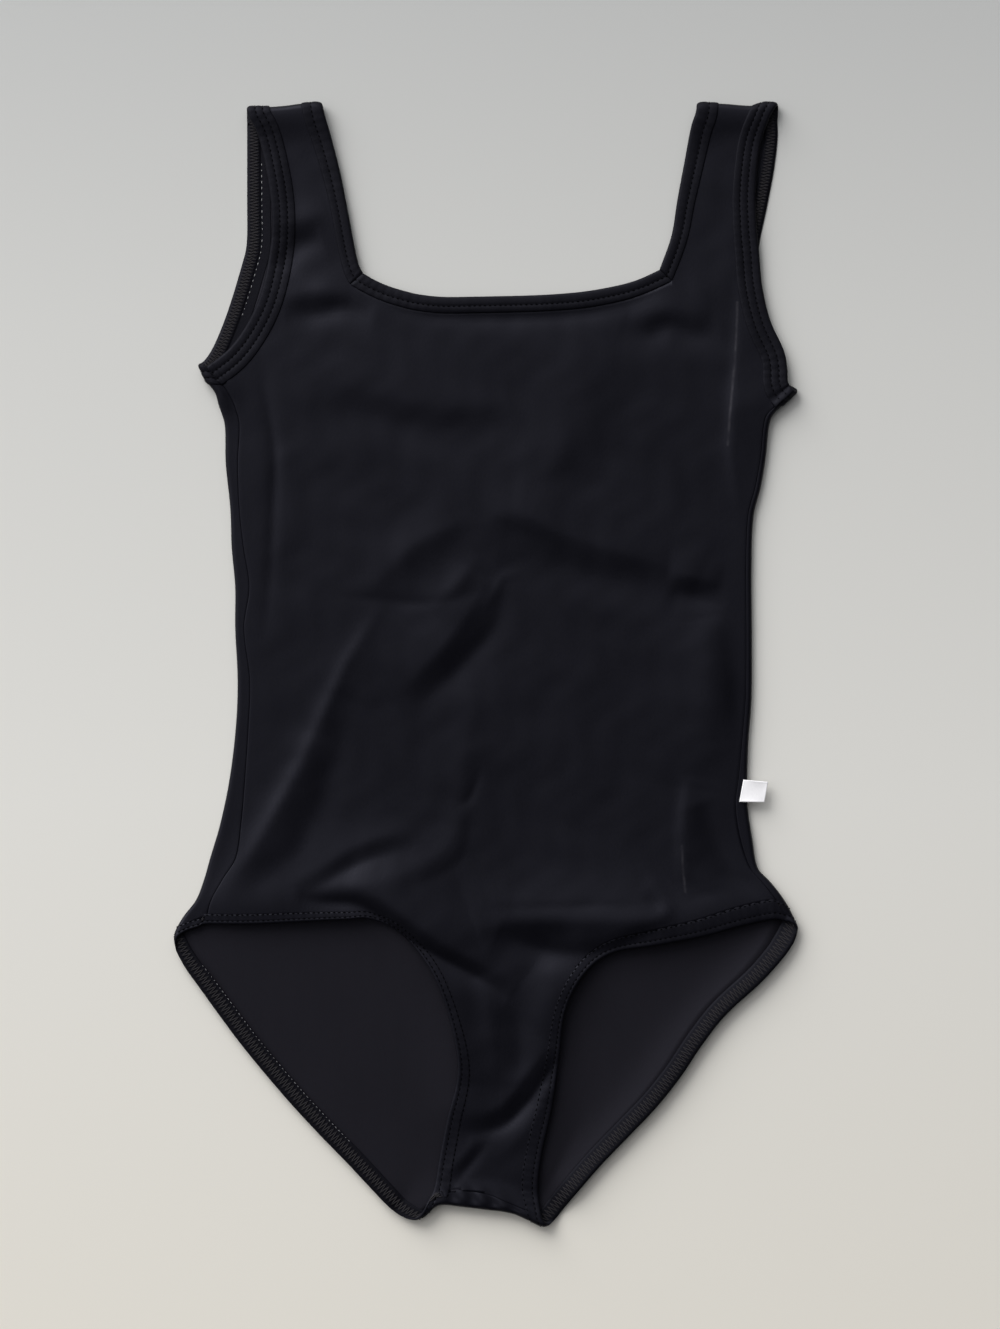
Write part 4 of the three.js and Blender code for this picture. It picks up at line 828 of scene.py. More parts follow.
def front_cloth(outside, inside):
    cloth = Cloth("front_cloth")
    patches = []
    corners = {"left": neck_left.tucked()[0], "right": neck_right.tucked()[0]}

    def add(flats, **seams):
        patches.append(flats)
        cloth.patch(lay_front(flats), flats, rise=dips(*flats.shape[:2], **seams))

    roots = {}
    chest_lines = {}
    for name, arm, neck in (("left", arm_left_front, neck_left), ("right", arm_right_front, neck_right)):
        arm_line, neck_line = arm.tucked(), neck.tucked()
        root = near_y(arm_line, corners[name][1] - CHEST_DROP)
        arm_top = near_y(arm_line, SHOULDER_CENTRE)
        neck_top = near_y(neck_line, SHOULDER_CENTRE)
        arm_strap = evenly(arm_line[root:arm_top + 1], STRAP_ROWS)
        neck_strap = evenly(neck_line[:neck_top + 1], STRAP_ROWS)
        arm_end = evenly(arm_line[arm_top:], SHOULDER_ROWS)
        neck_end = evenly(neck_line[neck_top:], SHOULDER_ROWS)
        chest_lines[name] = evenly(arm_line[:root + 1], CHEST_ROWS)
        roots[name] = straight(arm_strap[0], neck_strap[0], STRAP)
        fold = straight(arm_strap[-1], neck_strap[-1], STRAP)
        end = straight(arm_end[-1], neck_end[-1], STRAP)
        for top, bottom, outer, inner, rows in (
            (fold, roots[name], arm_strap, neck_strap, STRAP_ROWS),
            (end, fold, arm_end, neck_end, SHOULDER_ROWS),
        ):
            down = 1 - rows[::-1]
            if name == "left":
                add(filled(top, bottom, outer[::-1], inner[::-1], STRAP, down))
            else:
                add(filled(top[::-1], bottom[::-1], inner[::-1], outer[::-1], 1 - STRAP[::-1], down))

    neckline = evenly(neck_front.tucked(), NECKLINE)
    neckline[0], neckline[-1] = roots["left"][-1], roots["right"][-1]
    chest_top = lines_of([roots["left"], neckline, roots["right"][::-1]])
    across = joined((STRAP, 52), (NECKLINE, 170), (1 - STRAP[::-1], 52))
    underarm = straight(chest_lines["left"][0], chest_lines["right"][0], across)
    down = 1 - CHEST_ROWS[::-1]
    add(filled(
        chest_top, underarm, chest_lines["left"][::-1], chest_lines["right"][::-1], across, down,
    ))

    left_leg, right_leg = leg_left_front.tucked(), leg_right_front.tucked()
    turn_left = near_y(left_leg, STRIP_TOP["left"])
    turn_right = near_y(right_leg, STRIP_TOP["right"])
    hip_left = evenly(left_leg[:turn_left + 1], LEG_FRONT)
    hip_right = evenly(right_leg[:turn_right + 1], LEG_FRONT)
    strip = steps(len(across) - 1 - 2 * (len(LEG_FRONT) - 1))
    strip_top = straight(hip_left[-1], hip_right[-1], strip)
    hips = lines_of([hip_left, strip_top, hip_right[::-1]])
    add(filled(
        underarm, hips,
        seam_line(underarm[0], hips[0], TORSO_ROWS, 0, left_seam),
        seam_line(underarm[-1], hips[-1], TORSO_ROWS, 0, right_seam),
        across, TORSO_ROWS,
    ), left=True, right=True)
    add(filled(
        strip_top,
        seam_line(left_leg[-1], right_leg[-1], strip, 1, crotch_seam),
        evenly(left_leg[turn_left:], STRIP_ROWS),
        evenly(right_leg[turn_right:], STRIP_ROWS),
        strip, STRIP_ROWS,
    ), bottom=True)
    return cloth.build(outside, inside), patches


def fold_shares(total, radius):
    """Shares round a fold, even in its roll and then to the seam, with a short last step."""
    turn = min(np.pi * radius, total * ROLL_STEPS / (ROLL_STEPS + 2.0))
    flat = turn + (total - turn) * steps(FLAT_STEPS, end=True)
    return np.concatenate([np.linspace(0, turn, ROLL_STEPS + 1)[:-1], flat]) / total


def first_past(line, fold):
    return int(np.argmax(fold.past(line) > 0))


def round_fold(line, fold):
    """Part of an edge from the start of a fold to the seam, at the steps of the fold."""
    reach = fold.past(line)
    wanted = fold_shares(reach[-1], fold.roll) * reach[-1]
    reach = np.maximum.accumulate(reach)
    return np.stack([np.interp(wanted, reach, line[:, k]) for k in range(2)], axis=1)


def wrap_rows(starts, ends, fold):
    """Rows across a fold, from its start on the surface round to the seam on the front."""
    rows = []
    for start, end in zip(starts, ends):
        total = fold.past(end)
        shares = fold_shares(total, fold.roll)
        rows.append(fold.at(start + (end - start) * shares[:, None], shares * total))
    return np.array(rows)


def back_cloth(outside, inside):
    cloth = Cloth("back_cloth")
    patches = []

    def add(flats, **seams):
        patches.append(flats)
        cloth.patch(lay_back(flats), flats, flip=True, rise=dips(*flats.shape[:2], **seams))

    arm_left, arm_right, neck = arm_left_back.tucked(), arm_right_back.tucked(), neck_back.tucked()
    half = len(neck) // 2
    scoop_left = near_y(neck[:half], SCOOP_TOP)
    scoop_right = half + near_y(neck[half:], SCOOP_TOP)
    root_left, root_right = near_y(arm_left, BACK_STRAP_ROOT), near_y(arm_right, BACK_STRAP_ROOT)
    fold_left, fold_right = first_past(arm_left, LEFT_FOLD), first_past(arm_right, RIGHT_FOLD)

    arm_left_strap = evenly(arm_left[:root_left + 1], BACK_STRAP_ROWS)
    arm_right_strap = evenly(arm_right[:root_right + 1], BACK_STRAP_ROWS)
    neck_left_strap = evenly(neck[:scoop_left + 1], BACK_STRAP_ROWS)
    neck_right_strap = evenly(neck[scoop_right:][::-1], BACK_STRAP_ROWS)
    roots = [
        straight(arm_left_strap[-1], neck_left_strap[-1], BACK_STRAP),
        straight(neck_right_strap[-1], arm_right_strap[-1], BACK_STRAP),
    ]
    tops = [
        straight(arm_left_strap[0], neck_left_strap[0], BACK_STRAP),
        straight(neck_right_strap[0], arm_right_strap[0], BACK_STRAP),
    ]
    add(filled(tops[0], roots[0], arm_left_strap, neck_left_strap, BACK_STRAP, BACK_STRAP_ROWS))
    add(filled(tops[1], roots[1], neck_right_strap, arm_right_strap, BACK_STRAP, BACK_STRAP_ROWS))

    scoop = evenly(neck[scoop_left:scoop_right + 1], BACK_NECK)
    across = joined((BACK_STRAP, 50), (BACK_NECK, 190), (BACK_STRAP, 50))
    underarm = straight(arm_left[fold_left], arm_right[fold_right], across)
    add(filled(
        lines_of([roots[0], scoop, roots[1]]), underarm,
        evenly(arm_left[root_left:fold_left + 1], CHEST_ROWS),
        evenly(arm_right[root_right:fold_right + 1], CHEST_ROWS),
        across, CHEST_ROWS,
    ))

    legs = {}
    for name, line, fold in (
        ("left", leg_left_back.tucked(), LEFT_FOLD),
        ("right", leg_right_back.tucked(), RIGHT_FOLD),
    ):
        middle = len(line) // 2
        side = middle + first_past(line[middle:], fold)
        bottom = middle - 1 - first_past(line[:middle][::-1], CROTCH_FOLD)
        legs[name] = {
            "seat": evenly(line[bottom:side + 1], SEAT_ROWS),
            "side": round_fold(line[side:], fold),
            "bottom": round_fold(line[:bottom + 1][::-1], CROTCH_FOLD),
        }
    hips = straight(legs["left"]["side"][0], legs["right"]["side"][0], across)
    line_left = seam_line(underarm[0], hips[0], TORSO_ROWS, 0, LEFT_FOLD.centre)
    line_right = seam_line(underarm[-1], hips[-1], TORSO_ROWS, 0, RIGHT_FOLD.centre)
    add(filled(underarm, hips, line_left, line_right, across, TORSO_ROWS))

    def wrapped(arm_end, fold, starts, front_arm, front_leg, seam, leg):
        ends = seam_line(front_arm.tucked()[0], front_leg.tucked()[0], TORSO_ROWS, 0, seam)
        ends = np.array([fold.unroll(point, LOOK_GAP) for point in ends])
        rows = wrap_rows(starts, ends, fold)
        rows[0] = round_fold(arm_end, fold)
        rows[-1] = leg["side"]
        return rows

    left_rows = wrapped(
        arm_left[fold_left:], LEFT_FOLD, line_left, arm_left_front, leg_left_front, left_seam, legs["left"],
    )
    right_rows = wrapped(
        arm_right[fold_right:], RIGHT_FOLD, line_right,
        arm_right_front, leg_right_front, right_seam, legs["right"],
    )
    add(left_rows[:, ::-1], left=True)
    add(right_rows, right=True)

    seat_left, seat_right = legs["left"]["seat"][::-1], legs["right"]["seat"][::-1]
    bottom_line = seam_line(seat_left[-1], seat_right[-1], across, 1, CROTCH_FOLD.centre)
    add(filled(hips, bottom_line, seat_left, seat_right, across, 1 - SEAT_ROWS[::-1]))
    front_left, front_right = leg_left_front.tucked()[-1], leg_right_front.tucked()[-1]
    ends = seam_line(front_left, front_right, across, 1, crotch_seam)
    ends = np.array([CROTCH_FOLD.unroll(point, LOOK_GAP) for point in ends])
    lip = wrap_rows(bottom_line, ends, CROTCH_FOLD)
    lip[0] = legs["left"]["bottom"]
    lip[-1] = legs["right"]["bottom"]
    add(lip.transpose(1, 0, 2), bottom=True)
    return cloth.build(outside, inside), patches


# Bindings and hems

STRIP_STEP = 3  # stations to a row of the mesh
ROUNDING = 1.3  # how far in the folded outer edge is round
LIP = 0.6  # the same at the inner edge
JOIN_STEP = 0.4  # where the ends of a binding lie on each other
JOIN_WIDTH = 0.9
GATHER_RISE = 0.05
GATHER_LENGTH = 5.3
THREAD_CLEAR = 0.45  # least height of the middle of a thread


def rounded_ends(across, width):
    """Share of the full wall at each place across a strip, less at its folded and its stitched edge."""
    outer = np.clip(across * width / ROUNDING, 0, 1)
    inner = np.clip((1 - across) * width / LIP, 0, 1)
    return np.sqrt(np.clip(1 - (1 - outer) ** 2, 0.02, 1)) * (0.55 + 0.45 * np.sqrt(1 - (1 - inner) ** 2))


def ridges(ends, heights, base=0.2):
    """Rounded ridges side by side: where each ends across the strip, and how high it is."""
    starts = [0.0] + list(ends[:-1])

    def top(share):
        height = np.full(share.shape, base)
        for start, end, rise in zip(starts, ends, heights):
            inside = np.clip((share - start) / (end - start), 0, 1)
            height += rise * np.sin(np.pi * inside) ** 0.45
        return height

    return top


def hem_top(share):
    """A turned hem with two stitched lines."""
    lines = np.exp(-(((share - 0.34) / 0.05) ** 2)) + 0.5 * np.exp(-(((share - 0.93) / 0.04) ** 2))
    welt = 0.17 + 0.1 * np.exp(-(((share - 0.16) / 0.12) ** 2))
    return welt - 0.09 * lines - 1.7 * np.clip(share - 0.86, 0, 1)


def band(start, end, base, height):
    """A raised band between two shares of the width, with soft sides."""
    return lambda share: base + height * np.clip(np.minimum(share - start, end - share) / 0.06, 0, 1)


class Strip:
    """A binding or hem through the stations of its edges, each listed with the order to take it in."""

    def __init__(self, name, parts, columns, top, under, loop, flip, join=None):
        across = np.linspace(0, 1, columns)
        places, flats, widths = [], [], []
        run = 0.0
        for edge, order in parts:
            picked = np.unique(np.append(order[::STRIP_STEP], order[-1]))
            picked = picked if order[0] == 0 else picked[::-1]
            rows = np.stack([edge.at(share * edge.width)[picked] for share in across], axis=1)
            places.append(edge.lay(rows))
            middle = edge.at(edge.width / 2)[picked]
            lengths = path_lengths(middle)
            along = np.broadcast_to((run + lengths)[:, None], rows.shape[:2])
            flats.append(np.stack([along, across[None] * edge.width[picked][:, None]], axis=-1))
            widths.append(edge.width[picked])
            run += lengths[-1] + SEAM_GAP
        self.first_back = len(places[0])
        places, flats, widths = np.concatenate(places), np.concatenate(flats), np.concatenate(widths)
        if loop:
            places = np.concatenate([places, places[:1]])
            flats = np.concatenate([flats, flats[:1] + [run, 0.0]])
            widths = np.append(widths, widths[0])
        shrink = np.stack([rounded_ends(across, width) for width in widths])
        along = flats[:, 0, 0][:, None]
        drift = 0.4 * np.sin(along / 19)
        gathers = GATHER_RISE * np.sin(2 * np.pi * (along / GATHER_LENGTH + drift))
        rise = (WALL + top(across)[None] + gathers) * shrink - WALL
        if join is not None:
            step = along - join
            rise = rise + np.where(step < 0, JOIN_STEP, 0)
            rise = rise - 2 * JOIN_STEP * np.exp(-((step / JOIN_WIDTH) ** 2))
        if not loop:
            end = np.minimum(along, along[-1] - along)
            rise = rise - JOIN_STEP * np.exp(-((end / JOIN_WIDTH) ** 2))
        fall = (WALL + under(across)[None]) * shrink - WALL
        self.cloth = Cloth(name)
        self.cloth.patch(places, flats, flip=flip, rise=rise, under=fall)
        self.shape = places.shape

    def build(self, outside, inside):
        self.obj = self.cloth.build(outside, inside)
        self.top = self.cloth.outer[self.cloth.ids].reshape(self.shape)
        self.under = self.cloth.inner[self.cloth.ids].reshape(self.shape)
        return self.obj

    def line(self, share, proud, inside=False):
        """A line along the strip at a share of its width, just clear of one of its faces."""
        face, other = (self.under, self.top) if inside else (self.top, self.under)
        place = share * (self.shape[1] - 1)
        low = min(int(place), self.shape[1] - 2)
        part = place - low
        on_face = face[:, low] * (1 - part) + face[:, low + 1] * part
        on_other = other[:, low] * (1 - part) + other[:, low + 1] * part
        away = on_face - on_other
        line = on_face + proud * away / np.maximum(np.linalg.norm(away, axis=1), 0.2)[:, None]
        line[:, 2] = np.maximum(line[:, 2], THREAD_CLEAR)
        return line


# Threads


def zigzag(lines, pitch):
    """A thread that runs to and fro across lines side by side, once for each pitch."""
    lengths = path_lengths(lines[len(lines) // 2])
    turns = len(lines) - 1
    places = np.arange(0, lengths[-1], pitch / 2 / turns)
    count = np.arange(len(places))
    order = np.abs((count + turns) % (2 * turns) - turns)
    points = np.array([[np.interp(places, lengths, line[:, k]) for k in range(3)] for line in lines])
    return points[order, :, count]


def path_object(name, paths):
    """Lines through points, as a mesh of edges."""
    edges = []
    count = 0
    for path in paths:
        edges += [(count + i, count + i + 1) for i in range(len(path) - 1)]
        count += len(path)
    mesh = bpy.data.meshes.new(name)
    mesh.from_pydata(np.concatenate(paths) * MM, edges, [])
    return placed(name, mesh)


def add_node(tree, kind, inputs=None, **settings):
    """A node with its settings, and its inputs joined to sockets or set to values."""
    node = tree.nodes.new(kind)
    for name, value in settings.items():
        setattr(node, name, value)
    for label, value in (inputs or {}).items():
        if isinstance(value, bpy.types.NodeSocket):
            tree.links.new(value, node.inputs[label])
        else:
            node.inputs[label].default_value = value
    return node


def start_tree(name, inputs):
    """A node tree with geometry in and out and its named inputs, and the lines in it as a curve."""
    tree = bpy.data.node_groups.new(name, "GeometryNodeTree")
    tree.interface.new_socket("Lines", in_out="INPUT", socket_type="NodeSocketGeometry")
    for label, kind in inputs:
        tree.interface.new_socket(label, in_out="INPUT", socket_type=kind)
    tree.interface.new_socket("Thread", in_out="INPUT", socket_type="NodeSocketMaterial")
    tree.interface.new_socket("Stitches", in_out="OUTPUT", socket_type="NodeSocketGeometry")
    entry = add_node(tree, "NodeGroupInput").outputs
    curve = add_node(tree, "GeometryNodeMeshToCurve", {"Mesh": entry["Lines"]})
    return tree, entry, curve.outputs["Curve"]


def finish_tree(tree, entry, geometry):
    real = add_node(tree, "GeometryNodeRealizeInstances", {"Geometry": geometry})
    smooth = add_node(tree, "GeometryNodeSetShadeSmooth", {"Geometry": real.outputs["Geometry"]})
    dyed = add_node(tree, "GeometryNodeSetMaterial", {
        "Geometry": smooth.outputs["Geometry"], "Material": entry["Thread"],
    })
    add_node(tree, "NodeGroupOutput", {"Stitches": dyed.outputs["Geometry"]})
    return tree


def running_stitch_tree():
    """Short rounded stitches, one for each pitch, along the lines."""
    number = "NodeSocketFloat"
    tree, entry, curve = start_tree("running_stitch", [
        ("Pitch", number), ("Length", number), ("Thickness", number), ("Shortest", number),
        ("Seed", "NodeSocketInt"),
    ])
    spaced = add_node(tree, "GeometryNodeResampleCurve", {
        "Curve": curve, "Length": entry["Pitch"],
    }, mode="LENGTH")
    bead = add_node(tree, "GeometryNodeMeshUVSphere", {"Segments": 6, "Rings": 4, "Radius": 0.5})
    tangent = add_node(tree, "GeometryNodeInputTangent").outputs["Tangent"]
    turned = add_node(tree, "FunctionNodeAlignRotationToVector", {"Vector": tangent}, axis="X")
    uneven = add_node(tree, "FunctionNodeRandomValue", {2: entry["Shortest"], 3: 1.0, "Seed": entry["Seed"]})
    size = add_node(tree, "ShaderNodeCombineXYZ", {
        "X": math_node(tree, "MULTIPLY", entry["Length"], uneven.outputs[1]),
        "Y": entry["Thickness"], "Z": entry["Thickness"],
    })
    stitches = add_node(tree, "GeometryNodeInstanceOnPoints", {
        "Points": spaced.outputs["Curve"], "Instance": bead.outputs["Mesh"],
        "Rotation": turned.outputs["Rotation"], "Scale": size.outputs["Vector"],
    })
    return finish_tree(tree, entry, stitches.outputs["Instances"])


def thread_tree():
    """A round thread laid along the lines."""
    tree, entry, curve = start_tree("laid_thread", [("Thickness", "NodeSocketFloat")])
    ring = add_node(tree, "GeometryNodeCurvePrimitiveCircle", {
        "Resolution": 5, "Radius": math_node(tree, "MULTIPLY", entry["Thickness"], 0.5),
    })
    tube = add_node(tree, "GeometryNodeCurveToMesh", {
        "Curve": curve, "Profile Curve": ring.outputs["Curve"], "Fill Caps": True,
    })
    return finish_tree(tree, entry, tube.outputs["Mesh"])


def sewn(name, tree, paths, settings):
    """Threads along paths as one plain mesh."""
    lines = path_object(name + "_lines", paths)
    modifier = lines.modifiers.new("stitches", "NODES")
    modifier.node_group = tree
    for socket in tree.interface.items_tree:
        if socket.in_out == "INPUT" and socket.name in settings:
            modifier[socket.identifier] = settings[socket.name]
    evaluated = lines.evaluated_get(bpy.context.evaluated_depsgraph_get())
    mesh = bpy.data.meshes.new_from_object(evaluated)
    mesh.name = name
    lines.modifiers.remove(modifier)
    bpy.data.objects.remove(lines)
    return placed(name, mesh)


# Materials


def new_material(name):
    material = bpy.data.materials.new(name)
    material.use_nodes = True
    return material, material.node_tree, material.node_tree.nodes["Principled BSDF"]


def math_node(tree, operation, *values):
    """A math node on sockets or plain numbers."""
    return add_node(tree, "ShaderNodeMath", dict(enumerate(values)), operation=operation).outputs[0]


def vector_node(tree, operation, *values):
    """A vector math node on sockets or plain vectors."""
    return add_node(tree, "ShaderNodeVectorMath", dict(enumerate(values)), operation=operation)


def scaled(tree, vector, factor):
    """A vector times a socket."""
    node = vector_node(tree, "SCALE", vector)
    tree.links.new(factor, node.inputs["Scale"])
    return node.outputs[0]


def noise_node(tree, vector, scale, detail, stretch=(1, 1, 1)):
    spread = add_node(tree, "ShaderNodeMapping", {"Scale": stretch, "Vector": vector})
    noise = {"Scale": scale, "Detail": detail, "Vector": spread.outputs[0]}
    return add_node(tree, "ShaderNodeTexNoise", noise).outputs["Fac"]


def object_place(tree):
    return add_node(tree, "ShaderNodeTexCoord").outputs["Object"]


def knit_group():
    """Fine wales of a warp knit with a soft grain and slow mottling: height, tone and gloss."""
    group = bpy.data.node_groups.new("fine_knit", "ShaderNodeTree")
    for name in ("Wale", "Loops", "Mottle"):
        group.interface.new_socket(name, in_out="INPUT", socket_type="NodeSocketFloat")
    for name in ("Height", "Tone", "Gloss"):
        group.interface.new_socket(name, in_out="OUTPUT", socket_type="NodeSocketFloat")
    entry = add_node(group, "NodeGroupInput").outputs
    where = add_node(group, "ShaderNodeUVMap", uv_map="pattern").outputs["UV"]
    split = add_node(group, "ShaderNodeSeparateXYZ", {0: where})
    turns = math_node(group, "DIVIDE", 2 * np.pi, entry["Wale"])
    wales = math_node(group, "SINE", math_node(group, "MULTIPLY", split.outputs["X"], turns))
    rows = math_node(group, "MULTIPLY", split.outputs["Y"], math_node(group, "MULTIPLY", turns, 1.25))
    loops = math_node(group, "MULTIPLY_ADD", math_node(group, "SINE", rows), 0.5, wales)
    grain = noise_node(group, where, 900, 2, (1.0, 0.45, 1.0))
    slow = noise_node(group, where, 34, 3, (1.0, 0.7, 1.0))
    mottle = math_node(group, "SUBTRACT", math_node(group, "MULTIPLY_ADD", grain, 0.7, slow), 0.85)
    add_node(group, "NodeGroupOutput", {
        "Height": math_node(group, "MULTIPLY_ADD", loops, entry["Loops"], grain),
        "Tone": math_node(group, "MULTIPLY_ADD", mottle, entry["Mottle"], 1.0),
        "Gloss": math_node(group, "MULTIPLY_ADD", mottle, entry["Mottle"], 0.0),
    })
    return group


KNIT = knit_group()

# Painted highlight on the crests of creases: its width and its colour
HIGHLIGHT_LINE_WIDTH = 1.1 * MM
HIGHLIGHT_LINE_COLOUR = (0.019, 0.018, 0.020)


def painted_crease_highlights(tree, lines):
    """Painted highlight along the crest lines of creases, patchy along their run."""
    where = object_place(tree)
    flat = vector_node(tree, "MULTIPLY", where, (1.0, 1.0, 0.0)).outputs[0]
    marks = 0.0
    for start, end in [pair for line in lines for pair in zip(line, line[1:])]:
        start, end = Vector((*start, 0.0)) * MM, Vector((*end, 0.0)) * MM
        way = (end - start).normalized()
        away = vector_node(tree, "SUBTRACT", flat, start).outputs[0]
        along = vector_node(tree, "DOT_PRODUCT", away, way).outputs["Value"]
        held = math_node(tree, "MINIMUM", math_node(tree, "MAXIMUM", along, 0.0), (end - start).length)
        offset = vector_node(tree, "DISTANCE", away, scaled(tree, way, held)).outputs["Value"]
        near = math_node(tree, "MULTIPLY_ADD", offset, -1 / HIGHLIGHT_LINE_WIDTH, 1.0)
        marks = math_node(tree, "MAXIMUM", near, marks)
    patches = math_node(tree, "MULTIPLY_ADD", noise_node(tree, where, 110, 3), 3.4, -1.2)
    return math_node(tree, "MULTIPLY", marks, math_node(tree, "MAXIMUM", patches, 0.0))


def cloth_material(name, colour, roughness, specular, wale, loops, depth, mottle, lines=()):
    """Knitted nylon with elastane in one colour, with a painted highlight along the crease lines when they
    are given.
    """
    material, tree, shader = new_material(name)
    knit = add_node(tree, "ShaderNodeGroup", {
        "Wale": wale, "Loops": loops, "Mottle": mottle,
    }, node_tree=KNIT)
    tone = scaled(tree, colour, knit.outputs["Tone"])
    # Painted highlight: a light colour added to the cloth along the crease lines
    if lines:
        painted_highlight = scaled(tree, HIGHLIGHT_LINE_COLOUR, painted_crease_highlights(tree, lines))
        tone = vector_node(tree, "ADD", tone, painted_highlight).outputs[0]
    tree.links.new(tone, shader.inputs["Base Color"])
    gloss = math_node(tree, "MULTIPLY_ADD", knit.outputs["Gloss"], 0.4, roughness)
    tree.links.new(gloss, shader.inputs["Roughness"])
    bump = add_node(tree, "ShaderNodeBump", {
        "Strength": 1.0, "Distance": depth, "Height": knit.outputs["Height"],
    })
    tree.links.new(bump.outputs["Normal"], shader.inputs["Normal"])
    shader.inputs["Specular IOR Level"].default_value = specular
    shader.inputs["Specular Tint"].default_value = (0.78, 0.79, 1.0, 1.0)
    return material


def thread_material(name, colour, roughness, specular):
    """Twisted sewing thread."""
    material, tree, shader = new_material(name)
    twist = noise_node(tree, object_place(tree), 2600, 1)
    tone = scaled(tree, colour, math_node(tree, "MULTIPLY_ADD", twist, 0.8, 0.6))
    tree.links.new(tone, shader.inputs["Base Color"])
    tree.links.new(math_node(tree, "MULTIPLY_ADD", twist, 0.2, roughness), shader.inputs["Roughness"])
    shader.inputs["Specular IOR Level"].default_value = specular
    return material


FACE = {
    "colour": (0.0019, 0.0018, 0.0032), "roughness": 0.46, "specular": 0.18,
    "wale": 0.0005, "loops": 0.1, "depth": 0.00005, "mottle": 0.5,
}
# Crest lines of creases on the front where a highlight is painted into the colour, as x, y
CREASE_HIGHLIGHT_LINES = [
    [(142.6, 205), (142.2, 190), (141.2, 172), (139.9, 158), (138.4, 142), (137.2, 124)],
    [(111.0, -104), (111.6, -116), (113.0, -130)],
]
OUTSIDE = cloth_material("black_knit_face", **FACE)
# The front's cloth, with a painted highlight along two creases
FRONT_WITH_PAINTED_HIGHLIGHTS = cloth_material("black_knit_front", **FACE, lines=CREASE_HIGHLIGHT_LINES)
INSIDE = cloth_material("black_knit_back", (0.0064, 0.0058, 0.0080), 0.66, 0.16, 0.0006, 0.2, 0.00006, 0.4)
ELASTIC = cloth_material("bound_elastic", (0.0017, 0.0016, 0.0027), 0.58, 0.13, 0.0005, 0.15, 0.00007, 0.5)
TAPE = cloth_material("white_woven_tape", (0.93, 0.92, 0.94), 0.6, 0.3, 0.0005, 0.3, 0.00006, 0.1)
THREAD = thread_material("black_thread", (0.0010, 0.0010, 0.0012), 0.9, 0.03)
COVER_THREAD = thread_material("cover_thread", (0.017, 0.0155, 0.018), 0.6, 0.2)
PALE_THREAD = thread_material("grey_thread", (0.26, 0.26, 0.27), 0.5, 0.3)


# Pieces


def keep(obj, slot, *nodes):
    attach(obj, "root")
    if nodes:
        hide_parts(*nodes)
    return obj


front, front_flats = front_cloth(FRONT_WITH_PAINTED_HIGHLIGHTS, INSIDE)
back, back_flats = back_cloth(OUTSIDE, INSIDE)
keep(front, "cloth", "front_panel")
keep(back, "cloth", "back_panel")


def forwards(*edges):
    """Edges that follow each other, each taken forwards."""
    return [(edge, edge.forward()) for edge in edges]


neck_top = ridges((0.56, 1.0), (0.6, 0.42))
arm_top = ridges((0.35, 0.67, 1.0), (0.5, 0.46, 0.46))
inside_face = band(0.05, 0.58, 0.16, 0.4)
inside_hem = band(0.05, 0.96, 0.16, 0.3)
# Elastics: piece, node, edges in order, columns, top, under, whether it is a loop and is flipped, join
ELASTICS = [
    ("neck_elastic_front", "neck_binding_front", forwards(neck_front),
     25, neck_top, inside_face, False, True, None),
    ("neck_elastic_back", "neck_binding_back",
     forwards(neck_left, neck_back) + [(neck_right, neck_right.backward())],
     25, neck_top, inside_face, False, False, None),
    ("armhole_elastic_left", "armhole_binding_left", forwards(arm_left_front, arm_left_back),
     37, arm_top, inside_face, True, True, 3.6),
    ("armhole_elastic_right", "armhole_binding_right", forwards(arm_right_front, arm_right_back),
     37, arm_top, inside_face, True, False, 4.4),
    ("leg_elastic_left", "leg_hem_left", forwards(leg_left_front, leg_left_back),
     25, hem_top, inside_hem, True, False, None),
    ("leg_elastic_right", "leg_hem_right", forwards(leg_right_front, leg_right_back),
     25, hem_top, inside_hem, True, True, None),
]
strips = []
for name, node, parts, *form in ELASTICS:
    strip = Strip(name, parts, *form)
    keep(strip.build(OUTSIDE if "leg" in name else ELASTIC, ELASTIC), "elastic", node)
    strips.append(strip)
necks, armholes, hems = strips[:2], strips[2:4], strips[4:]

RUNNING = running_stitch_tree()
LAID = thread_tree()

topstitch_lines = [strip.line(0.57, 0.16) for strip in necks]
topstitch_lines += [strip.line(share, 0.16) for strip in armholes for share in (0.35, 0.67)]
topstitch_lines += [strip.line(share, 0.2) for strip in hems for share in (0.34, 0.9)]
keep(sewn("topstitching", RUNNING, topstitch_lines, {
    "Pitch": 2.9 * MM, "Length": 1.8 * MM, "Thickness": 0.58 * MM, "Shortest": 0.85, "Seed": 3,
    "Thread": THREAD,
}), "elastic")


def cover(strip, low, high, pitch):
    """The zigzag on the inside of a strip, between two shares of its width."""
    return zigzag([strip.line(share, 0.2, inside=True) for share in np.linspace(low, high, 5)], pitch)


cover_lines = [cover(strip, 0.1, 0.5, 1.9) for strip in armholes + necks]
cover_lines += [cover(strip, 0.18, 0.8, 2.4) for strip in hems]
keep(sewn("cover_stitching", LAID, cover_lines, {"Thickness": 0.6 * MM, "Thread": COVER_THREAD}), "elastic")


def stretch(strip, share, low, high):
    """Part of an inside line on the back, between two heights."""
    line = strip.line(share, 0.2, inside=True)[strip.first_back:]
    return line[(line[:, 1] > low) & (line[:, 1] < high)]


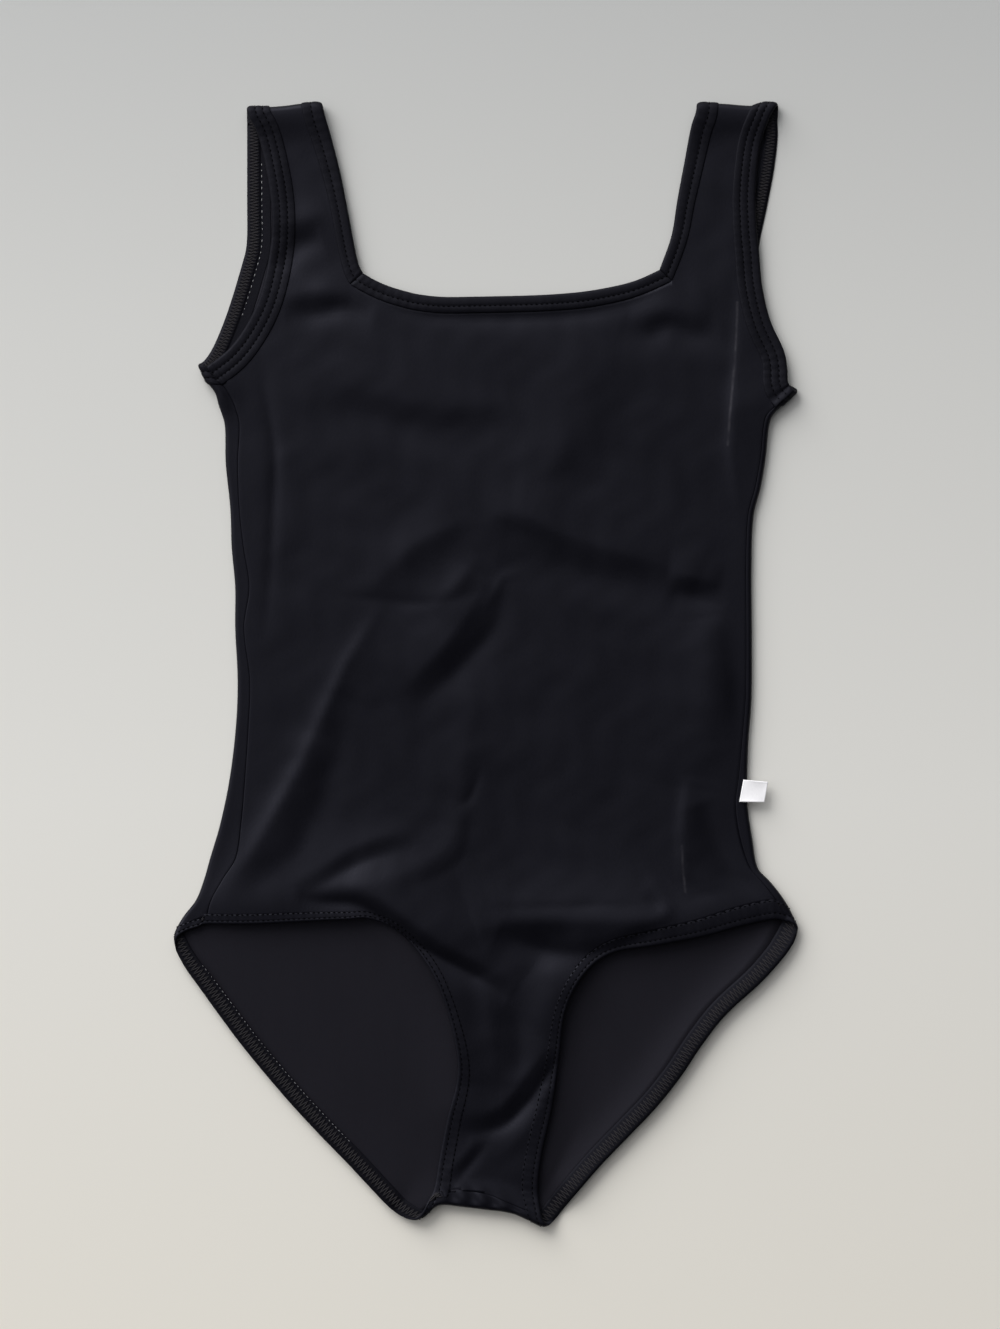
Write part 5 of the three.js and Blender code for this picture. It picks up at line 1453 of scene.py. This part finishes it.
pale_places = (
    ("pale_armhole_stitching", stretch(armholes[0], 0.62, 198, 284), 3.3, 0.42),
    ("pale_hem_stitching", stretch(hems[0], 0.92, -272, -172), 2.6, 0.28),
)
for name, line, pitch, thickness in pale_places:
    keep(sewn(name, RUNNING, [line], {
        "Pitch": pitch * MM, "Length": 0.66 * pitch * MM, "Thickness": thickness * MM, "Shortest": 0.3,
        "Seed": 11, "Thread": PALE_THREAD,
    }), "elastic")

# The side tab: corners on the cloth and in the air, in the order top root, bottom root, top end, bottom end
TAB_CORNERS = [(146.0, -66.3), (143.7, -78.9), (160.0, -67.6), (158.0, -79.2)]
TAB_WALL = 0.28
TAB_HEIGHT = 1.4  # of its root above the front ply


def side_tab():
    """A folded woven tab that leaves the seam, bends down over the edge and curls a little."""
    rows, columns = 21, 29
    down = np.linspace(0, 1, rows)[:, None, None]
    along = np.linspace(0, 1, columns)[None, :, None]
    top_root, bottom_root, top_end, bottom_end = (np.array(corner) for corner in TAB_CORNERS)
    flat = (top_root * (1 - down) + bottom_root * down) * (1 - along)
    flat = flat + (top_end * (1 - down) + bottom_end * down) * along
    root = float(front_height(np.array(TAB_CORNERS[0][0]), np.array(-72.4))) + TAB_HEIGHT
    share = along[..., 0]
    curl = 0.5 * np.sin(np.pi * share) * (2 * down[..., 0] - 1) ** 2
    height = root - 0.35 * share**1.6 + curl
    places = np.concatenate([flat, np.broadcast_to(height[..., None], flat.shape[:2] + (1,))], axis=-1)
    cloth = Cloth("woven_tab")
    edge = np.minimum(np.minimum(share, 1 - share) * 14, np.minimum(down, 1 - down)[..., 0] * 12.6)
    welt = TAB_WALL - WALL + 0.1 * np.exp(-((edge / 0.6) ** 2))
    cloth.patch(places, flat, rise=welt, under=TAB_WALL - WALL)
    return cloth.build(TAPE, TAPE)


tab = keep(side_tab(), "tape", "side_label")


# Floor, camera and light

SCALE = 0.57 * MM  # metres to a pixel of the photograph, at the surface
IMAGE = (1000, 1329)
ORIGIN_PIXEL = (486.5, 663.0)
CAMERA_HEIGHT = 2.0
FLOOR_SIZE = 12.0

centre_x = (IMAGE[0] / 2 - ORIGIN_PIXEL[0]) * SCALE
centre_y = (ORIGIN_PIXEL[1] - IMAGE[1] / 2) * SCALE
camera_data = bpy.data.cameras.new("camera")
camera_data.sensor_fit = "VERTICAL"
camera_data.sensor_height = 36.0
camera_data.lens = 36.0 * CAMERA_HEIGHT / (IMAGE[1] * SCALE)
camera_data.clip_end = 50.0
camera = placed("camera", camera_data)
camera.location = (centre_x, centre_y, CAMERA_HEIGHT)
bpy.context.scene.camera = camera


def floor_material():
    """Pale matt board with painted shade: a little darker and cooler towards the top of the view, standing
    in for the fall of the room's light across it.
    """
    material, tree, shader = new_material("pale_surface")
    split = add_node(tree, "ShaderNodeSeparateXYZ", {0: object_place(tree)})
    place = add_node(tree, "ShaderNodeMapRange", {
        "Value": split.outputs["Y"], "From Min": -0.38, "From Max": 0.38,
    })
    # Painted shade: the colour runs from warm and light at the bottom to grey and darker at the top
    ramp = add_node(tree, "ShaderNodeValToRGB", {"Fac": place.outputs["Result"]})
    ramp.color_ramp.elements[0].color = (0.75, 0.72, 0.655, 1.0)
    ramp.color_ramp.elements[1].color = (0.442, 0.446, 0.442, 1.0)
    for share, colour in ((0.4, (0.678, 0.668, 0.637, 1.0)), (0.75, (0.554, 0.553, 0.538, 1.0))):
        ramp.color_ramp.elements.new(share).color = colour
    tree.links.new(ramp.outputs["Color"], shader.inputs["Base Color"])
    shader.inputs["Roughness"].default_value = 0.8
    shader.inputs["Specular IOR Level"].default_value = 0.15
    return material


floor_mesh = bpy.data.meshes.new("floor")
half_floor = FLOOR_SIZE / 2
corners = [(-half_floor, -half_floor, 0), (half_floor, -half_floor, 0)]
corners += [(half_floor, half_floor, 0), (-half_floor, half_floor, 0)]
floor_mesh.from_pydata(corners, [], [(0, 1, 2, 3)])
floor_mesh.materials.append(floor_material())
placed("floor", floor_mesh)


def area_light(name, place, target, size, power, colour):
    data = bpy.data.lights.new(name, "AREA")
    data.shape = "DISK"
    data.size = size
    data.energy = power
    data.color = colour
    light = placed(name, data)
    light.location = place
    light.rotation_euler = (Vector(target) - Vector(place)).to_track_quat("-Z", "Y").to_euler()


def studio_world(bright_side, dim, bright):
    """Soft fill of a room that is brighter towards its window than on its far side and overhead."""
    world = bpy.data.worlds.new("studio")
    world.use_nodes = True
    tree = world.node_tree
    where = add_node(tree, "ShaderNodeTexCoord").outputs["Generated"]
    facing = vector_node(tree, "DOT_PRODUCT", where, Vector(bright_side).normalized())
    fall = add_node(tree, "ShaderNodeMapRange", {
        "Value": facing.outputs["Value"], "From Min": -0.15, "From Max": 0.95,
        "To Min": dim, "To Max": bright,
    }, interpolation_type="SMOOTHSTEP")
    back = tree.nodes["Background"]
    back.inputs["Color"].default_value = (0.97, 0.98, 1.0, 1.0)
    tree.links.new(fall.outputs["Result"], back.inputs["Strength"])
    bpy.context.scene.world = world


area_light("window", (-1.7, 2.35, 1.6), (0, 0, 0), 2.8, 123.0, (1.0, 0.99, 0.97))
studio_world((-0.6, 0.76, 0.25), 0.07, 1.4)
bpy.context.scene.view_settings.view_transform = "Standard"
